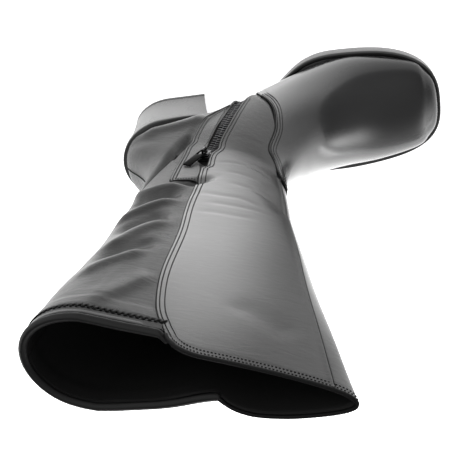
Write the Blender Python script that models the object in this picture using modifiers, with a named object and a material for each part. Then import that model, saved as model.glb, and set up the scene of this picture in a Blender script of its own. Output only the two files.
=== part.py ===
# Heeled knee boot for the right foot, as an assembly of sole, heel, upper, binding and side zip.
# X points to the toe, Y to the inner ankle and Z up. The origin is the middle of the heel's base.
# Tables are in millimetres. A station is a distance from the back of the heel seat towards the toe.

import math

import bmesh
import bpy
import numpy as np
from mathutils import Matrix, Vector
from mathutils.bvhtree import BVHTree

MM = 0.001

# Driving dimensions of the sole and heel, in millimetres
SOLE_LENGTH = 252.8
PLATFORM_THICKNESS = 12.0
WAIST_THICKNESS = 5.0
SEAT_RISE = 70.0
TOE_SPRING = 8.0
FLAT_FROM, FLAT_TO = 168.0, 198.0
SHANK_POWERS = (1.6, 3.0)
WAIST_TO_PLATFORM = (112.0, 170.0)
TOE_ROUND_FROM, TOE_POWER = 168.0, 2.8
HEEL_ROUND, HEEL_POWER = 34.0, 2.0
LEDGE = 3.8
FIT_GAP = 0.3
SEAT_GAP = 0.6
BASE_STATION = 36.0

HEEL_BASE = {"back": 4.5, "breast": 65.0, "medial": 25.0, "lateral": 26.0, "round": 32.0, "power": 2.1}
HEEL_BREAST_TOP = 69.0
HEEL_INSET = 1.6
HEEL_TAPER_POWER = 1.35
HEEL_LEVELS = 7
TOP_PIECE_THICKNESS = 4.5

# Driving dimensions of the upper
WALL = 2.0
LASTING_MARGIN = 15.0
TOE_HEIGHT, TOE_SLOPE = 25.0, 0.24
TOE_TOP_FROM, TOE_TOP_POWER = 212.0, 2.4
TOE_FORM = {"widest": 0.17, "front_share": 1.0, "front_power": 2.4, "back_power": 6.0}
RIM_STEP = 17.0
RIM_CORNER = 14.0
PINCH = {"girth": -0.38, "spread": 0.12, "depth": 4.5, "rows": 3.0}
FRONT_PANEL_EDGE = {"medial": 0.51, "lateral": 0.37}
INSOLE_THICKNESS = 2.4
INSOLE_INSET = 10.5
INSOLE_LIFT = 1.7
HEEL_END_CUT = 9.0

BINDING_RADIUS = 2.8
BINDING_END_GAP = 3.2
BINDING_SIDES = 10

# Driving dimensions of the zip. Places are a station and a height on the inner side.
ZIP_FOOT, ZIP_TOP = (96.0, 54.0), (67.2, 151.0)
CHAIN = {"width": 6.2, "thickness": 1.6, "sunk": 0.2}
SLIDER = {"length": 9.0, "width": 7.6, "thickness": 2.6}
ARCH = {"front": 4.0, "back": -3.0, "width": 1.6, "clear": 2.6, "bar": 1.2, "sunk": 0.8}
PULL = {"length": 20.0, "width": 6.4, "thickness": 1.1, "bar": 1.2, "window": (4.8, 4.6)}
PULL_TURN, PULL_LEAN = -21.5, 8.0
PULL_AXIS = (0.5, 1.45)

# Half widths of the sole before its two ends are rounded
SOLE_COLUMNS = ("station", "medial", "lateral")
SOLE_WIDTHS = (
    (0, 31.0, 31.5),
    (30, 32.0, 32.5),
    (58, 30.5, 33.0),
    (78, 26.0, 35.0),
    (98, 24.0, 38.0),
    (116, 27.5, 42.5),
    (131, 35.0, 45.3),
    (145, 42.0, 47.0),
    (157, 45.0, 48.2),
    (172, 46.8, 48.8),
    (190, 47.6, 48.2),
    (253, 47.8, 47.2),
)

# Each section of the upper lies in a plane through a front point and a back point.
# A back height of None lies on the sole. Widest is where the section is widest, as a share from the back.
SECTION_COLUMNS = (
    "front_station", "front_side", "front_height", "back_station", "back_side", "back_height",
    "medial", "lateral", "widest", "front_share", "front_power", "back_power",
)
SECTIONS = {
    "vamp": (201, 0.0, 52, 199, 0.0, None, 41.0, 41.0, 0.13, 1.0, 2.1, 6.0),
    "ball": (180, 0.0, 63, 176, 0.0, None, 42.5, 41.5, 0.12, 1.0, 1.95, 6.0),
    "waist": (160, 0.0, 77, 147, -1.0, None, 38.5, 40.0, 0.16, 1.0, 1.9, 6.0),
    "low_instep": (144, 0.0, 96, 118, -1.5, None, 33.5, 37.0, 0.20, 1.0, 1.95, 5.0),
    "instep": (133, 0.0, 117, 86, -0.5, None, 31.8, 33.0, 0.28, 1.0, 1.95, 5.0),
    "long_heel": (126, 0.0, 136, 50, 0.0, None, 30.2, 30.3, 0.36, 1.0, 2.0, 5.5),
    "heel_seat": (123, 0.0, 151, 21, 0.0, None, 28.6, 29.0, 0.40, 1.0, 2.0, 5.0),
    "heel_feather": (122, 0.0, 160, 4.4, 0.0, 77.5, 28.0, 28.3, 0.40, 1.0, 2.0, 3.0),
    "heel_back": (121.5, 0.0, 169, 8.5, 0.0, 92.0, 27.5, 28.0, 0.41, 1.0, 2.05, 2.7),
    "achilles": (121.7, 0.0, 180, 20.5, 0.5, 118.0, 26.8, 27.5, 0.41, 1.0, 2.1, 2.5),
    "ankle": (122.5, 0.0, 196, 19.5, 1.5, 154.0, 26.5, 27.5, 0.41, 0.97, 2.1, 2.4),
    "low_shaft": (124.5, 0.2, 235, 10.0, 6.0, 216.0, 26.8, 27.5, 0.38, 0.90, 2.2, 2.3),
    "calf": (130, 0.6, 298, -3.0, 13.0, 284.0, 27.5, 28.0, 0.32, 0.72, 2.4, 2.2),
    "high_shaft": (137.5, 1.0, 365, -17.5, 19.0, 344.0, 28.2, 28.5, 0.25, 0.54, 2.7, 2.1),
    "rim": (146, 1.5, 434, -25.5, 23.0, 402.0, 28.0, 28.0, 0.20, 0.40, 3.0, 2.05),
}
TOE_ROW_ANGLES = (86, 78, 68, 56, 42)
TAPER_POWER = 1.6

UPPER_ROWS, BACK_COLUMNS, FRONT_COLUMNS = 46, 11, 10
CORNER_STEPS = (0.1, 0.4, 1.0)
HALF_SAMPLES = 72


# Curves and profiles

def natural_spline(knots, values):
    """A smooth curve through table values, as a function of the knots' variable."""
    knots, values = np.asarray(knots, float), np.asarray(values, float)
    step = np.diff(knots)
    count = len(knots)
    system = np.eye(count)
    right = np.zeros(count)
    for i in range(1, count - 1):
        system[i, i - 1 : i + 2] = step[i - 1], 2 * (step[i - 1] + step[i]), step[i]
        right[i] = 6 * ((values[i + 1] - values[i]) / step[i] - (values[i] - values[i - 1]) / step[i - 1])
    bend = np.linalg.solve(system, right)

    def curve(at):
        at = np.asarray(at, float)
        i = np.clip(np.searchsorted(knots, at) - 1, 0, count - 2)
        a = (knots[i + 1] - at) / step[i]
        b = 1 - a
        lean = ((a**3 - a) * bend[i] + (b**3 - b) * bend[i + 1]) * step[i] ** 2 / 6
        return a * values[i] + b * values[i + 1] + lean

    return curve


def ease(share):
    """Zero to one with no slope at either end."""
    share = np.clip(share, 0, 1)
    return share * share * (3 - 2 * share)


def round_end(share, power):
    """Superellipse fall from one at share 0 to nothing at share 1."""
    return (1 - np.clip(share, 0, 1) ** power) ** (1 / power)


_widths = {
    name: natural_spline([row[0] for row in SOLE_WIDTHS], [row[i] for row in SOLE_WIDTHS])
    for i, name in enumerate(SOLE_COLUMNS)
    if i
}


def sole_half_width(station, side, inset=0.0):
    """Half width of the sole's outline, both ends rounded, pulled in all round by an inset."""
    toe = round_end((station - TOE_ROUND_FROM) / (SOLE_LENGTH - inset - TOE_ROUND_FROM), TOE_POWER)
    heel = round_end((HEEL_ROUND - station) / (HEEL_ROUND - inset), HEEL_POWER)
    return (_widths[side](station) - inset) * toe * heel


def sole_bottom(station):
    """Underside of the outsole: flat under the ball, sprung at the toe, rising to the seat."""
    toe = max(0.0, (station - FLAT_TO) / (SOLE_LENGTH - FLAT_TO))
    back = min(1.0, max(0.0, (FLAT_FROM - station) / FLAT_FROM))
    first, second = SHANK_POWERS
    return TOE_SPRING * toe**2 + SEAT_RISE * (1 - (1 - back**first) ** second)


def sole_thickness(station):
    start, end = WAIST_TO_PLATFORM
    return WAIST_THICKNESS + (PLATFORM_THICKNESS - WAIST_THICKNESS) * ease((station - start) / (end - start))


def sole_top(station):
    return sole_bottom(station) + float(sole_thickness(station))


def sole_stations(inset=0.0, steps=9, middle=16):
    """Stations along the sole, closer together where its ends turn."""
    toe_run = SOLE_LENGTH - inset - TOE_ROUND_FROM
    heel_run = HEEL_ROUND - inset
    turn = np.radians(np.linspace(4, 90, steps))
    heel = HEEL_ROUND - heel_run * np.cos(turn)
    toe = TOE_ROUND_FROM + toe_run * np.cos(turn[::-1]) ** (2 / TOE_POWER)
    straight = np.linspace(HEEL_ROUND, TOE_ROUND_FROM, middle)
    return np.concatenate([heel[:-1], straight, toe[1:]])


# Mesh helpers

def point(station, side, height):
    """A place given in the tables' terms, as a position in metres."""
    return Vector(((station - BASE_STATION) * MM, side * MM, height * MM))


def material(name, colour, roughness, metallic=0.0):
    made = bpy.data.materials.new(name)
    made.use_nodes = True
    shader = made.node_tree.nodes["Principled BSDF"]
    shader.inputs["Base Color"].default_value = (*colour, 1)
    shader.inputs["Roughness"].default_value = roughness
    shader.inputs["Metallic"].default_value = metallic
    return made


def add_object(name, mesh, finish=None, collection="heeled_boot"):
    obj = bpy.data.objects.new(name, mesh)
    bpy.data.collections[collection].objects.link(obj)
    if collection == "cutters":
        obj.hide_render = True
        obj.display_type = "WIRE"
    if finish:
        mesh.materials.append(finish)
    return obj


def wrapped_grid(name, around, along, place, ends=True):
    """A tube made from a grid. Place gives a position for each share around it and each share along it."""
    mesh = bpy.data.meshes.new(name)
    bm = bmesh.new()
    bmesh.ops.create_grid(bm, x_segments=around, y_segments=along, size=0.5)
    for vert in bm.verts:
        vert.co = place(round((vert.co.x + 0.5) * around), round((vert.co.y + 0.5) * along))
    bmesh.ops.remove_doubles(bm, verts=bm.verts, dist=1e-7)
    if ends:
        bmesh.ops.holes_fill(bm, edges=[e for e in bm.edges if e.is_boundary], sides=0)
    bmesh.ops.recalc_face_normals(bm, faces=bm.faces)
    bm.to_mesh(mesh)
    bm.free()
    mesh.shade_smooth()
    mesh.set_sharp_from_angle(angle=math.radians(40))
    return mesh


def slab(name, stations, medial, lateral, top, bottom, across=4):
    """A solid between a top and a bottom profile, as wide at each station as the two half widths say."""
    corners = 2 * across + 2

    def place(i, j):
        station = stations[j]
        inner, outer = medial(station), -lateral(station)
        i = i % corners
        if i <= across:
            return point(station, inner + (outer - inner) * i / across, top(station))
        return point(station, outer + (inner - outer) * (i - across - 1) / across, bottom(station))

    return wrapped_grid(name, corners, len(stations) - 1, place)


def cut(obj, cutter):
    boolean = obj.modifiers.new("cut by " + cutter.name, "BOOLEAN")
    boolean.operation = "DIFFERENCE"
    boolean.object = cutter
    return boolean


# The upper's surface

def section_rows():
    """The table's sections, toe first, with the rows that round the toe worked out."""
    rows = []
    toe_run = SOLE_LENGTH - LEDGE - TOE_ROUND_FROM
    toe_top_run = SOLE_LENGTH - LEDGE - TOE_TOP_FROM
    for angle in TOE_ROW_ANGLES:
        station = TOE_ROUND_FROM + toe_run * math.sin(math.radians(angle)) ** (2 / TOE_POWER)
        base = sole_top(station) + SEAT_GAP
        drop = float(round_end(max(0.0, (station - TOE_TOP_FROM) / toe_top_run), TOE_TOP_POWER))
        height = TOE_HEIGHT + (SOLE_LENGTH - LEDGE - station) * TOE_SLOPE
        rows.append((
            station, 0.0, base + height * drop, station, 0.0, base,
            float(sole_half_width(station, "medial", LEDGE)),
            float(sole_half_width(station, "lateral", LEDGE)),
            *TOE_FORM.values(),
        ))
    for row in SECTIONS.values():
        row = list(row)
        if row[5] is None:
            row[5] = sole_top(row[3]) + SEAT_GAP
        rows.append(tuple(row))
    return rows


_rows = section_rows()
_columns = {
    name: natural_spline(range(len(_rows)), [row[i] for row in _rows])
    for i, name in enumerate(SECTION_COLUMNS)
}
LAST_ROW = len(_rows) - 1
RIM_BELOW = LAST_ROW - 1


def half_section(row, side):
    """Points of one half of a section, from the front round to the back, evenly spaced."""
    at = {name: float(curve(row)) for name, curve in _columns.items()}
    front = np.array([at["front_station"], at["front_side"], at["front_height"]])
    back = np.array([at["back_station"], at["back_side"], at["back_height"]])
    turn = np.linspace(0, math.pi, 4 * HALF_SAMPLES)
    cosine, sine = np.cos(turn), np.clip(np.sin(turn), 0, 1)
    ahead = cosine > 0
    power = 2 / np.where(ahead, at["front_power"], at["back_power"])
    reach = np.abs(cosine) ** power
    along = at["widest"] + np.where(ahead, (1 - at["widest"]) * reach, -at["widest"] * reach)
    taper = at["front_share"] + (1 - at["front_share"]) * (1 - np.where(ahead, reach, 0)) ** TAPER_POWER
    out = (at["medial"] if side > 0 else -at["lateral"]) * sine**power * taper
    points = back + along[:, None] * (front - back)
    points[:, 1] += out
    run = np.concatenate([[0], np.cumsum(np.linalg.norm(np.diff(points, axis=0), axis=1))])
    even = np.linspace(0, run[-1], HALF_SAMPLES)
    spaced = np.stack([np.interp(even, run, points[:, k]) for k in range(3)], -1)
    if side < 0:
        near = np.exp(-(((even / run[-1] + PINCH["girth"]) / PINCH["spread"]) ** 2))
        spaced[:, 1] += PINCH["depth"] * near * ease(1 - (LAST_ROW - row) / PINCH["rows"])
    return spaced, run[-1]


def on_section(row, girth):
    """A point of the upper. Girth is 0 at the front, and 1 or -1 at the back by the inner or outer side."""
    points, _ = half_section(row, 1 if girth >= 0 else -1)
    at = abs(girth) * (HALF_SAMPLES - 1)
    return np.array([np.interp(at, np.arange(HALF_SAMPLES), points[:, k]) for k in range(3)])


def rim_row(girth):
    """Where the top edge lies: the front panel stands a step above the back panel, with a rounded corner."""
    edge = FRONT_PANEL_EDGE["medial" if girth >= 0 else "lateral"]
    top, below = on_section(LAST_ROW, girth), on_section(RIM_BELOW, girth)
    _, half = half_section(LAST_ROW, 1 if girth >= 0 else -1)
    into_front = (edge - abs(girth)) * half
    share = min(1.0, max(0.0, into_front / RIM_CORNER))
    drop = RIM_STEP * (1 - math.sqrt(1 - (1 - share) ** 2))
    return LAST_ROW - drop / np.linalg.norm(top - below)


def girth_columns():
    """Shares of girth round the upper, from the back by the inner side to the front and on to the back."""
    columns = []
    for side in ("medial", "lateral"):
        edge = FRONT_PANEL_EDGE[side]
        _, half = half_section(LAST_ROW, 1 if side == "medial" else -1)
        corner = [edge - RIM_CORNER * step / half for step in CORNER_STEPS]
        back = np.linspace(1, edge, BACK_COLUMNS + 1)
        front = np.linspace(corner[-1], 0, FRONT_COLUMNS + 1)[1:]
        columns.append([*back, *corner, *front])
    medial, lateral = columns
    return [float(g) for g in medial + [-g for g in reversed(lateral[:-1])]]


def upper_surface():
    """The upper's outer surface, open at the collar and closed round the sole and toe."""
    girths = girth_columns()[:-1]
    tops = [rim_row(g) for g in girths]
    spread = np.linspace(0, 1, UPPER_ROWS + 1)

    def place(i, j):
        i = i % len(girths)
        return point(*on_section(tops[i] * spread[j], girths[i]))

    mesh = wrapped_grid("upper", len(girths), UPPER_ROWS, place, ends=False)
    bm = bmesh.new()
    bm.from_mesh(mesh)
    toe_end = [e for e in bm.edges if e.is_boundary and e.verts[0].co.z < TOE_HEIGHT * 2 * MM]
    bmesh.ops.holes_fill(bm, edges=toe_end, sides=0)
    bmesh.ops.recalc_face_normals(bm, faces=bm.faces)
    bm.to_mesh(mesh)
    bm.free()
    return mesh


# The pieces

def build_outsole(finish):
    stations = sole_stations()
    mesh = slab(
        "outsole", stations, lambda s: float(sole_half_width(s, "medial")),
        lambda s: float(sole_half_width(s, "lateral")), sole_top, sole_bottom,
    )
    return add_object("outsole", mesh, finish)


def heel_base_half(station, side):
    base = HEEL_BASE
    reach = (base["round"] + base["back"] - station) / base["round"]
    return base[side] * float(round_end(reach, base["power"]))


def heel_stations(start, end, run, steps=8):
    turn = np.radians(np.linspace(5, 90, steps))
    return np.concatenate([start + run * (1 - np.cos(turn)), np.linspace(start + run, end, 4)[1:]])


def build_heel(finish):
    """A block lofted from its base outline to the outsole's seat, with a flat breast."""
    low = heel_stations(HEEL_BASE["back"], HEEL_BASE["breast"], HEEL_BASE["round"])
    high = heel_stations(HEEL_INSET, HEEL_BREAST_TOP, HEEL_ROUND - HEEL_INSET)
    floor = TOP_PIECE_THICKNESS + FIT_GAP
    count = len(low)
    ring = 2 * count

    def place(i, j):
        i = i % ring
        side, k = ("medial", i) if i < count else ("lateral", ring - 1 - i)
        sign = 1 if side == "medial" else -1
        seat = sole_bottom(high[k]) - FIT_GAP
        half = float(sole_half_width(high[k], side, HEEL_INSET))
        rise = j / HEEL_LEVELS
        taper = rise**HEEL_TAPER_POWER
        station = low[k] + (high[k] - low[k]) * taper
        across = heel_base_half(low[k], side) * (1 - taper) + half * taper
        return point(station, sign * across, floor + (seat - floor) * rise)

    return add_object("heel", wrapped_grid("heel", ring, HEEL_LEVELS, place), finish)


def build_top_piece(finish):
    stations = heel_stations(HEEL_BASE["back"], HEEL_BASE["breast"], HEEL_BASE["round"])
    mesh = slab(
        "heel_top_piece", stations, lambda s: heel_base_half(s, "medial"),
        lambda s: heel_base_half(s, "lateral"), lambda s: TOP_PIECE_THICKNESS, lambda s: 0.0, across=2,
    )
    return add_object("heel_top_piece", mesh, finish)


def build_insole(finish):
    rest = SEAT_GAP + WALL + INSOLE_LIFT
    inset = LEDGE + INSOLE_INSET
    stations = [s for s in sole_stations(inset) if s > inset + HEEL_END_CUT]
    mesh = slab(
        "insole", stations, lambda s: float(sole_half_width(s, "medial", inset)),
        lambda s: float(sole_half_width(s, "lateral", inset)),
        lambda s: sole_top(s) + rest + INSOLE_THICKNESS, lambda s: sole_top(s) + rest,
    )
    return add_object("insole", mesh, finish)


def build_upper(finish):
    obj = add_object("upper", upper_surface(), finish)
    shell = obj.modifiers.new("leather and lining", "SOLIDIFY")
    shell.thickness = WALL * MM
    shell.offset = -1
    shell.use_even_offset = True
    inset = LEDGE + LASTING_MARGIN
    stations = [s for s in sole_stations(inset) if s > inset + HEEL_END_CUT]
    opening = slab(
        "underside_opening", stations, lambda s: float(sole_half_width(s, "medial", inset)),
        lambda s: float(sole_half_width(s, "lateral", inset)),
        lambda s: sole_top(s) + 3 * WALL, lambda s: sole_top(s) - 2 * WALL,
    )
    cut(obj, add_object("underside_opening", opening, collection="cutters"))
    return obj


def build_collar_binding(finish):
    """A round roll that stands on the back panel's edge, from seam to seam."""
    _, half = half_section(LAST_ROW, 1)
    near, far = (FRONT_PANEL_EDGE[side] + BINDING_END_GAP / half for side in ("medial", "lateral"))
    columns = girth_columns()[:-1]
    girths = [near, *sorted(g for g in columns if g > near + 0.01)]
    girths += [*sorted(g for g in columns if g < -far - 0.01), -far]
    edge = np.array([on_section(rim_row(g), g) for g in girths])
    under = np.array([on_section(rim_row(g) - 0.1, g) for g in girths])
    rise = edge - under
    rise /= np.linalg.norm(rise, axis=1)[:, None]
    run = np.gradient(edge, axis=0)
    out = np.cross(rise, run)
    out /= np.linalg.norm(out, axis=1)[:, None]
    out *= np.sign(np.sum(out * (edge - edge.mean(axis=0)), axis=1))[:, None]
    centre = edge - out * WALL / 2 + rise * (BINDING_RADIUS + FIT_GAP)

    def place(i, j):
        angle = 2 * math.pi * (i % BINDING_SIDES) / BINDING_SIDES
        return point(*(centre[j] + BINDING_RADIUS * (math.cos(angle) * out[j] + math.sin(angle) * rise[j])))

    mesh = wrapped_grid("collar_binding", BINDING_SIDES, len(girths) - 1, place)
    return add_object("collar_binding", mesh, finish)


def side_of_upper(surface, station, height):
    """How far out the inner side of the upper lies at a station and a height."""
    start = point(station, 120, height)
    return surface.ray_cast(start, Vector((0, -1, 0)))[0].y / MM


def zip_strip(name, surface, width, out, inside, longer):
    """A strip that follows the upper's inner side along the zip."""
    foot, top = np.array(ZIP_FOOT), np.array(ZIP_TOP)
    along = (top - foot) / np.linalg.norm(top - foot)
    across = np.array([along[1], -along[0]])
    foot, top = foot - along * longer, top + along * longer
    steps = 26

    def place(i, j):
        hand, depth = ((1, out), (-1, out), (-1, inside), (1, inside))[i % 4]
        station, height = foot + (top - foot) * j / steps + across * hand * width / 2
        return point(station, side_of_upper(surface, station, height) + depth, height)

    return wrapped_grid(name, 4, steps, place)


def block(name, matrix, low, high, collection="cutters", finish=None):
    """A box between two corners, in the zip's own axes."""
    mesh = bpy.data.meshes.new(name)
    bm = bmesh.new()
    bmesh.ops.create_cube(bm, size=1)
    middle = [(a + b) / 2 * MM for a, b in zip(low, high)]
    size = [(b - a) * MM for a, b in zip(low, high)]
    bmesh.ops.transform(bm, matrix=Matrix.Translation(middle) @ Matrix.Diagonal((*size, 1)), verts=bm.verts)
    bm.to_mesh(mesh)
    bm.free()
    obj = add_object(name, mesh, finish, collection)
    obj.matrix_world = matrix
    return obj


def bevel(obj, width, segments=2):
    rounded = obj.modifiers.new("rounded edges", "BEVEL")
    rounded.width = width * MM
    rounded.segments = segments
    rounded.limit_method = "ANGLE"


def build_zip(upper, tape, metal):
    """Slot in the upper, chain in the slot, slider at its top, and the pull on the slider's arch."""
    shell = bmesh.new()
    shell.from_mesh(upper.data)
    surface = BVHTree.FromBMesh(shell)
    shell.free()
    sunk, thick, wide = CHAIN["sunk"], CHAIN["thickness"], CHAIN["width"]
    slot = zip_strip("zip_slot", surface, wide + 2 * FIT_GAP, 4.0, -3 * WALL, FIT_GAP)
    cut(upper, add_object("zip_slot", slot, collection="cutters"))
    add_object("zip_chain", zip_strip("zip_chain", surface, wide, -sunk, -sunk - thick, 0.0), tape)

    foot, top = np.array(ZIP_FOOT), np.array(ZIP_TOP)
    along = (top - foot) / np.linalg.norm(top - foot)
    seat = top - along * SLIDER["length"] / 2
    ends = [top, top - along * SLIDER["length"]]
    level = max(side_of_upper(surface, *end) for end in ends) + FIT_GAP
    u, n = Vector((along[0], 0, along[1])), Vector((0, 1, 0))
    axes = Matrix((u, n.cross(u), n)).transposed().to_4x4()
    frame = Matrix.Translation(point(seat[0], level, seat[1])) @ axes

    length, width, body = SLIDER["length"] / 2, SLIDER["width"] / 2, SLIDER["thickness"]
    slider = block("zip_slider", frame, (-length, -width, 0), (length, width, body), "heeled_boot", metal)
    bevel(slider, 0.7)
    half = ARCH["width"] / 2
    ridge = body + ARCH["clear"] + ARCH["bar"]
    low_corner = (ARCH["back"], -half, body - ARCH["sunk"])
    arch = block("slider_arch", frame, low_corner, (ARCH["front"], half, ridge))
    low = (ARCH["back"] + ARCH["bar"], -width, body)
    high = (ARCH["front"] - ARCH["bar"], width, ridge - ARCH["bar"])
    cut(arch, block("slider_arch_opening", frame, low, high))
    joined = slider.modifiers.new("arch", "BOOLEAN")
    joined.operation = "UNION"
    joined.object = arch

    turned = Matrix.Rotation(math.radians(PULL_TURN), 4, "Z")
    turned = turned @ Matrix.Rotation(math.radians(PULL_LEAN), 4, "Y")
    hinge = frame @ Matrix.Translation((PULL_AXIS[0] * MM, 0, (body + PULL_AXIS[1]) * MM)) @ turned
    bar, thin = PULL["bar"] / 2, PULL["thickness"] / 2
    corner = (-bar, -PULL["width"] / 2, -thin), (PULL["length"], PULL["width"] / 2, thin)
    pull = block("zip_pull", hinge, *corner, "heeled_boot", metal)
    bevel(pull, 0.3, 1)
    opening, gap = PULL["window"]
    cut(pull, block("pull_window", hinge, (bar, -gap / 2, -2), (bar + opening, gap / 2, 2)))


def clear_scene():
    for obj in list(bpy.data.objects):
        bpy.data.objects.remove(obj)
    for name in ("heeled_boot", "cutters"):
        bpy.context.scene.collection.children.link(bpy.data.collections.new(name))


def main():
    clear_scene()
    leather = material("black_leather", (0.012, 0.012, 0.013), 0.38)
    rubber = material("black_rubber", (0.014, 0.014, 0.014), 0.5)
    wrapped = material("lacquered_heel", (0.013, 0.013, 0.013), 0.28)
    lining = material("black_lining", (0.02, 0.019, 0.02), 0.85)
    tape = material("zip_tape", (0.016, 0.016, 0.017), 0.55)
    metal = material("dark_metal", (0.08, 0.08, 0.085), 0.3, 1.0)
    build_outsole(rubber)
    build_heel(wrapped)
    build_top_piece(rubber)
    build_insole(lining)
    upper = build_upper(leather)
    build_collar_binding(leather)
    build_zip(upper, tape, metal)


main()
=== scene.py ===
import math

import bmesh
import bpy
import numpy as np
from mathutils import Matrix, Vector

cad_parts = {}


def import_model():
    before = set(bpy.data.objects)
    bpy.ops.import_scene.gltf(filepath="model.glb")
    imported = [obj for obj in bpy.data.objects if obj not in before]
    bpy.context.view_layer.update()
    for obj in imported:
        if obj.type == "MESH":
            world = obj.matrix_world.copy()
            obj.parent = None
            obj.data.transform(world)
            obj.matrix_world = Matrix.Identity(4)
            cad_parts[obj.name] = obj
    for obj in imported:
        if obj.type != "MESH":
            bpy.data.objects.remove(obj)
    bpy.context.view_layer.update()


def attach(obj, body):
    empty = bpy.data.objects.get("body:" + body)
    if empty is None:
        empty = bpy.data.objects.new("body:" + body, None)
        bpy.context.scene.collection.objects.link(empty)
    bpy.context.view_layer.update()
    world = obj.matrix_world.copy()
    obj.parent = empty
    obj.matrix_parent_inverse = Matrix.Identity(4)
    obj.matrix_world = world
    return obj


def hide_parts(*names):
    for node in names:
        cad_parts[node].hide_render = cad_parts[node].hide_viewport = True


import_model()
mm = 0.001

# Sizes are in millimetres. A station runs from the back of the heel seat to the toe.
# Side is out to the inner ankle, and height is up from the floor.

soleForm = {
    "length": 252.8, "platform": 12.0, "waist": 5.0, "seatRise": 70.0, "toeSpring": 8.0,
    "flatFrom": 168.0, "flatTo": 198.0, "shankPowers": (1.6, 3.0), "waistToPlatform": (112.0, 170.0),
    "toeRoundFrom": 168.0, "toePower": 2.8, "heelRound": 34.0, "heelPower": 2.0, "endShares": (0.28, 0.34),
    "ledge": 2.6, "seatGap": 0.6, "fitGap": 0.3, "baseStation": 36.0,
    "stations": (0, 30, 58, 78, 98, 116, 131, 145, 157, 172, 190, 253),
    "medial": (31, 32, 30.5, 26, 24, 27.5, 37, 44.6, 47.4, 48.2, 48, 47.8),
    "lateral": (31.5, 32.5, 33, 35, 38, 42.5, 45.3, 47, 48.2, 48.8, 48.2, 47.2),
}


def spline(knots, values):
    knots, values = np.asarray(knots, float), np.asarray(values, float)
    step = np.diff(knots)
    count = len(knots)
    system = np.eye(count)
    right = np.zeros(count)
    for i in range(1, count - 1):
        system[i, i - 1 : i + 2] = step[i - 1], 2 * (step[i - 1] + step[i]), step[i]
        right[i] = 6 * ((values[i + 1] - values[i]) / step[i] - (values[i] - values[i - 1]) / step[i - 1])
    bend = np.linalg.solve(system, right)

    def curve(at):
        at = np.asarray(at, float)
        i = np.clip(np.searchsorted(knots, at) - 1, 0, count - 2)
        a = (knots[i + 1] - at) / step[i]
        b = 1 - a
        lean = ((a**3 - a) * bend[i] + (b**3 - b) * bend[i + 1]) * step[i] ** 2 / 6
        return a * values[i] + b * values[i + 1] + lean

    return curve


def ease(share):
    share = np.clip(share, 0, 1)
    return share * share * (3 - 2 * share)


def roundEnd(share, power):
    return (1 - np.clip(share, 0, 1) ** power) ** (1 / power)


def ramp(at, start, over):
    return ease((at - start) / over)


def hump(away, width):
    return np.exp(-((away / width) ** 2))


def between(share, start, end):
    return start + share * (end - start)


def unit(ways):
    return ways / np.linalg.norm(ways, axis=-1)[..., None]


def runOf(places):
    # the length along a line at each of its points
    return np.concatenate([[0], np.cumsum(np.linalg.norm(np.diff(places, axis=0), axis=1))])


def blurred(values, reach):
    window = np.ones(2 * reach + 1) / (2 * reach + 1)
    return np.convolve(np.pad(values, reach, mode="edge"), window, mode="valid")


def resample(at, run, table):
    return np.stack([np.interp(at, run, column) for column in table.T], -1)


soleWidth = {side: spline(soleForm["stations"], soleForm[side]) for side in ("medial", "lateral")}


def soleHalf(station, side, inset=0.0):
    toeFrom, heelTo = soleForm["toeRoundFrom"], soleForm["heelRound"]
    toe = roundEnd((station - toeFrom) / (soleForm["length"] - inset - toeFrom), soleForm["toePower"])
    heel = roundEnd((heelTo - station) / (heelTo - inset), soleForm["heelPower"])
    return (soleWidth[side](station) - inset) * toe * heel


def soleBottom(station):
    station = np.asarray(station, float)
    toe = np.maximum(0, (station - soleForm["flatTo"]) / (soleForm["length"] - soleForm["flatTo"]))
    back = np.clip((soleForm["flatFrom"] - station) / soleForm["flatFrom"], 0, 1)
    first, second = soleForm["shankPowers"]
    return soleForm["toeSpring"] * toe**2 + soleForm["seatRise"] * (1 - (1 - back**first) ** second)


def soleTop(station):
    start, end = soleForm["waistToPlatform"]
    grown = ramp(np.asarray(station, float), start, end - start)
    return soleBottom(station) + soleForm["waist"] + (soleForm["platform"] - soleForm["waist"]) * grown


# Sections of the last, from the toe round the heel and up the shaft

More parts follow.
